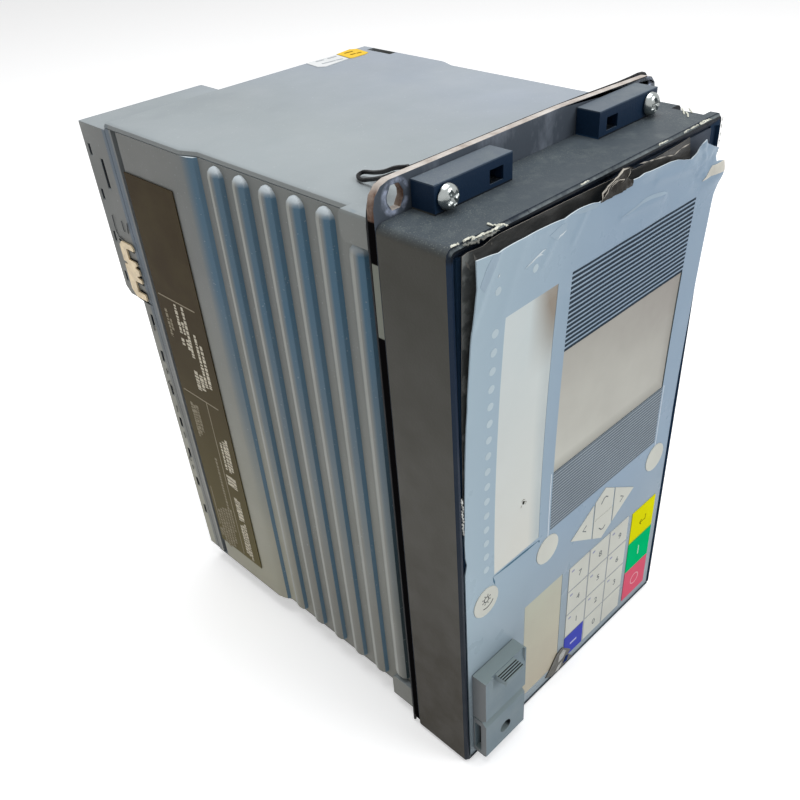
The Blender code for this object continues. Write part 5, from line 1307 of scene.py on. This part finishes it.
def crumbs(name, paths, size, paint, seed):
    """Lumpy ribbons of uneven width along paths, for torn plastic and for the painted shadows under it; a path
    is a list of points.
    """
    rng = random.Random(seed)
    shapes = []
    for path in paths:
        points = [Vector(p) for p in path]
        lengths = [(b - a).length for a, b in zip(points, points[1:])]
        count = max(int(sum(lengths) / (0.55 * size)), 3)
        shape = bmesh.new()
        rings = []
        for i in range(count + 1):
            reach = sum(lengths) * i / count
            k = 0
            while k < len(lengths) - 1 and reach > lengths[k]:
                reach -= lengths[k]
                k += 1
            heading = (points[k + 1] - points[k]).normalized()
            here = points[k] + heading * reach
            side = heading.cross(Vector((0.1, 0, 1))).normalized()
            up = side.cross(heading)
            here = here + (side * rng.uniform(-0.5, 0.5) + up * rng.uniform(-0.3, 0.7)) * size * 0.6
            radius = size * rng.uniform(0.3, 0.8) * (0.3 if i in (0, count) else 1)
            ring = []
            for n in range(6):
                angle = math.pi * n / 3 + rng.uniform(-0.3, 0.3)
                ring.append(
                    shape.verts.new(here + radius * (math.cos(angle) * side + 0.6 * math.sin(angle) * up))
                )
            rings.append(ring)
        for first, second in zip(rings, rings[1:]):
            for n in range(6):
                m = (n + 1) % 6
                shape.faces.new((first[n], first[m], second[m], second[n]))
        shape.faces.new(rings[0])
        shape.faces.new(rings[-1])
        bmesh.ops.recalc_face_normals(shape, faces=shape.faces[:])
        shapes.append(shape)
    return make(name, merged(shapes), paint)


def build_damage():
    pale = varied("torn_pale", "D6D6C8", 0.6, spread=0.3, scale=600, strength=0.3)
    # Grey for the painted shadows under the burrs
    grey = varied("burr_shadow_grey", "6F706A", 0.6, spread=0.5, scale=600, strength=0.4)
    crumbs("burrs", [[(x, y, 250.9) for x, y in path] for path in BURRS], 0.75, pale, 3)
    crumbs("burr_shadows", [[(x, y, 250.1) for x, y in path] for path in BURR_SHADOWS], 1.0, grey, 5)
    crumbs("shreds", [[(x, y, 250.6) for x, y in path] for path in NOTCH_SHREDS], 0.5, pale, 8)
    edge = [[(75.0, -29.4, z), (75.0, -29.5, z - 1.6)] for z in (248.6, 246.0, 243.0, 240.2, 237.0)]
    crumbs("lip_flecks", edge, 0.35, pale, 9)
    foil = varied("foil_bit", "B9BAB6", 0.35, 0.3, 0.3, 500, strength=0.4)
    strip = [[(-72.0, -28.9, z), (-72.3, -29.4, z - 3), (-71.9, -29.2, z - 6)] for z in (158.0, 152.5, 146.5)]
    crumbs("foil_strip", strip, 0.7, foil, 11)


# Floor, light and camera

def area(name, place, target, size, power, colour=(1, 1, 1)):
    light = bpy.data.lights.new(name, "AREA")
    light.shape = "DISK"
    light.size = size
    light.energy = power
    light.color = colour
    obj = bpy.data.objects.new(name, light)
    bpy.context.scene.collection.objects.link(obj)
    obj.location = place
    obj.rotation_euler = (Vector(target) - Vector(place)).to_track_quat("-Z", "Y").to_euler()
    return obj


def seen_directly(tree):
    """1 for rays of the camera, and for what gloss and glass show; 0 for light that falls on things."""
    path = tree.nodes.new("ShaderNodeLightPath")
    first = tree.nodes.new("ShaderNodeMath")
    first.operation = "MAXIMUM"
    tree.links.new(path.outputs["Is Camera Ray"], first.inputs[0])
    tree.links.new(path.outputs["Is Glossy Ray"], first.inputs[1])
    second = tree.nodes.new("ShaderNodeMath")
    second.operation = "MAXIMUM"
    tree.links.new(first.outputs[0], second.inputs[0])
    tree.links.new(path.outputs["Is Transmission Ray"], second.inputs[1])
    return second.outputs[0]


def build_set():
    scene = bpy.context.scene
    scene.view_settings.view_transform = "Standard"
    floor_mesh = bpy.data.meshes.new("floor")
    floor_mesh.from_pydata([(-6, -6, 0), (6, -6, 0), (6, 6, 0), (-6, 6, 0)], [], [(0, 1, 2, 3)])
    floor = bpy.data.objects.new("floor", floor_mesh)
    scene.collection.objects.link(floor)
    floor.location.z = -0.0002
    material = bpy.data.materials.new("floor_white")
    material.use_nodes = True
    tree = material.node_tree
    shader = tree.nodes["Principled BSDF"]
    shader.inputs["Base Color"].default_value = (0.88, 0.88, 0.88, 1)
    shader.inputs["Roughness"].default_value = 0.9
    shader.inputs["Specular IOR Level"].default_value = 0.1
    glow = tree.nodes.new("ShaderNodeEmission")
    glow.inputs["Color"].default_value = (1, 1, 1, 1)
    glow.inputs["Strength"].default_value = 0.45
    add = tree.nodes.new("ShaderNodeAddShader")
    mix = tree.nodes.new("ShaderNodeMixShader")
    tree.links.new(shader.outputs[0], add.inputs[0])
    tree.links.new(glow.outputs[0], add.inputs[1])
    tree.links.new(seen_directly(tree), mix.inputs[0])
    tree.links.new(shader.outputs[0], mix.inputs[1])
    tree.links.new(add.outputs[0], mix.inputs[2])
    tree.links.new(mix.outputs[0], tree.nodes["Material Output"].inputs["Surface"])
    floor_mesh.materials.append(material)

    world = bpy.data.worlds.new("studio")
    scene.world = world
    world.use_nodes = True
    tree = world.node_tree
    ground = tree.nodes["Background"]
    level = tree.nodes.new("ShaderNodeMapRange")
    level.inputs["To Min"].default_value = 0.3
    level.inputs["To Max"].default_value = 1.0
    tree.links.new(seen_directly(tree), level.inputs["Value"])
    tree.links.new(level.outputs["Result"], ground.inputs["Strength"])
    ground.inputs["Color"].default_value = (1, 1, 1, 1)

    middle = (0, 0, 0.13)
    area("top_light", (0.1, 0.1, 1.6), middle, 1.3, 17.5, (0.98, 0.99, 1.0))
    area("front_light", (0.5, -1.3, 1.1), middle, 0.8, 9, (0.97, 0.98, 1.0))

    camera = bpy.data.cameras.new("photo_camera")
    camera.sensor_width = 36
    camera.lens = 38.769
    camera.shift_x = -0.0261
    camera.shift_y = 0.0729
    camera.clip_start = 0.01
    camera.dof.use_dof = False
    holder = bpy.data.objects.new("photo_camera", camera)
    scene.collection.objects.link(holder)
    right = Vector((0.69612169, -0.71595538, -0.05312706))
    down = Vector((-0.47475723, -0.40356725, -0.78213749))
    ahead = Vector((0.5385352, 0.56968532, -0.62083691))
    turn = Matrix((right, -down, -ahead)).transposed().to_4x4()
    turn.translation = Vector((-0.23478393, -0.25390311, 0.35360358))
    holder.matrix_world = turn
    scene.camera = holder


dress_nodes()
build_film()
build_torn_film()
build_prints()
key_lines()
build_key_marks()
build_label_marks()
build_clip()
build_stickers()
build_screw("bezel_screw_left")
build_screw("bezel_screw_right")
build_damage()
build_set()

bpy.context.view_layer.update()
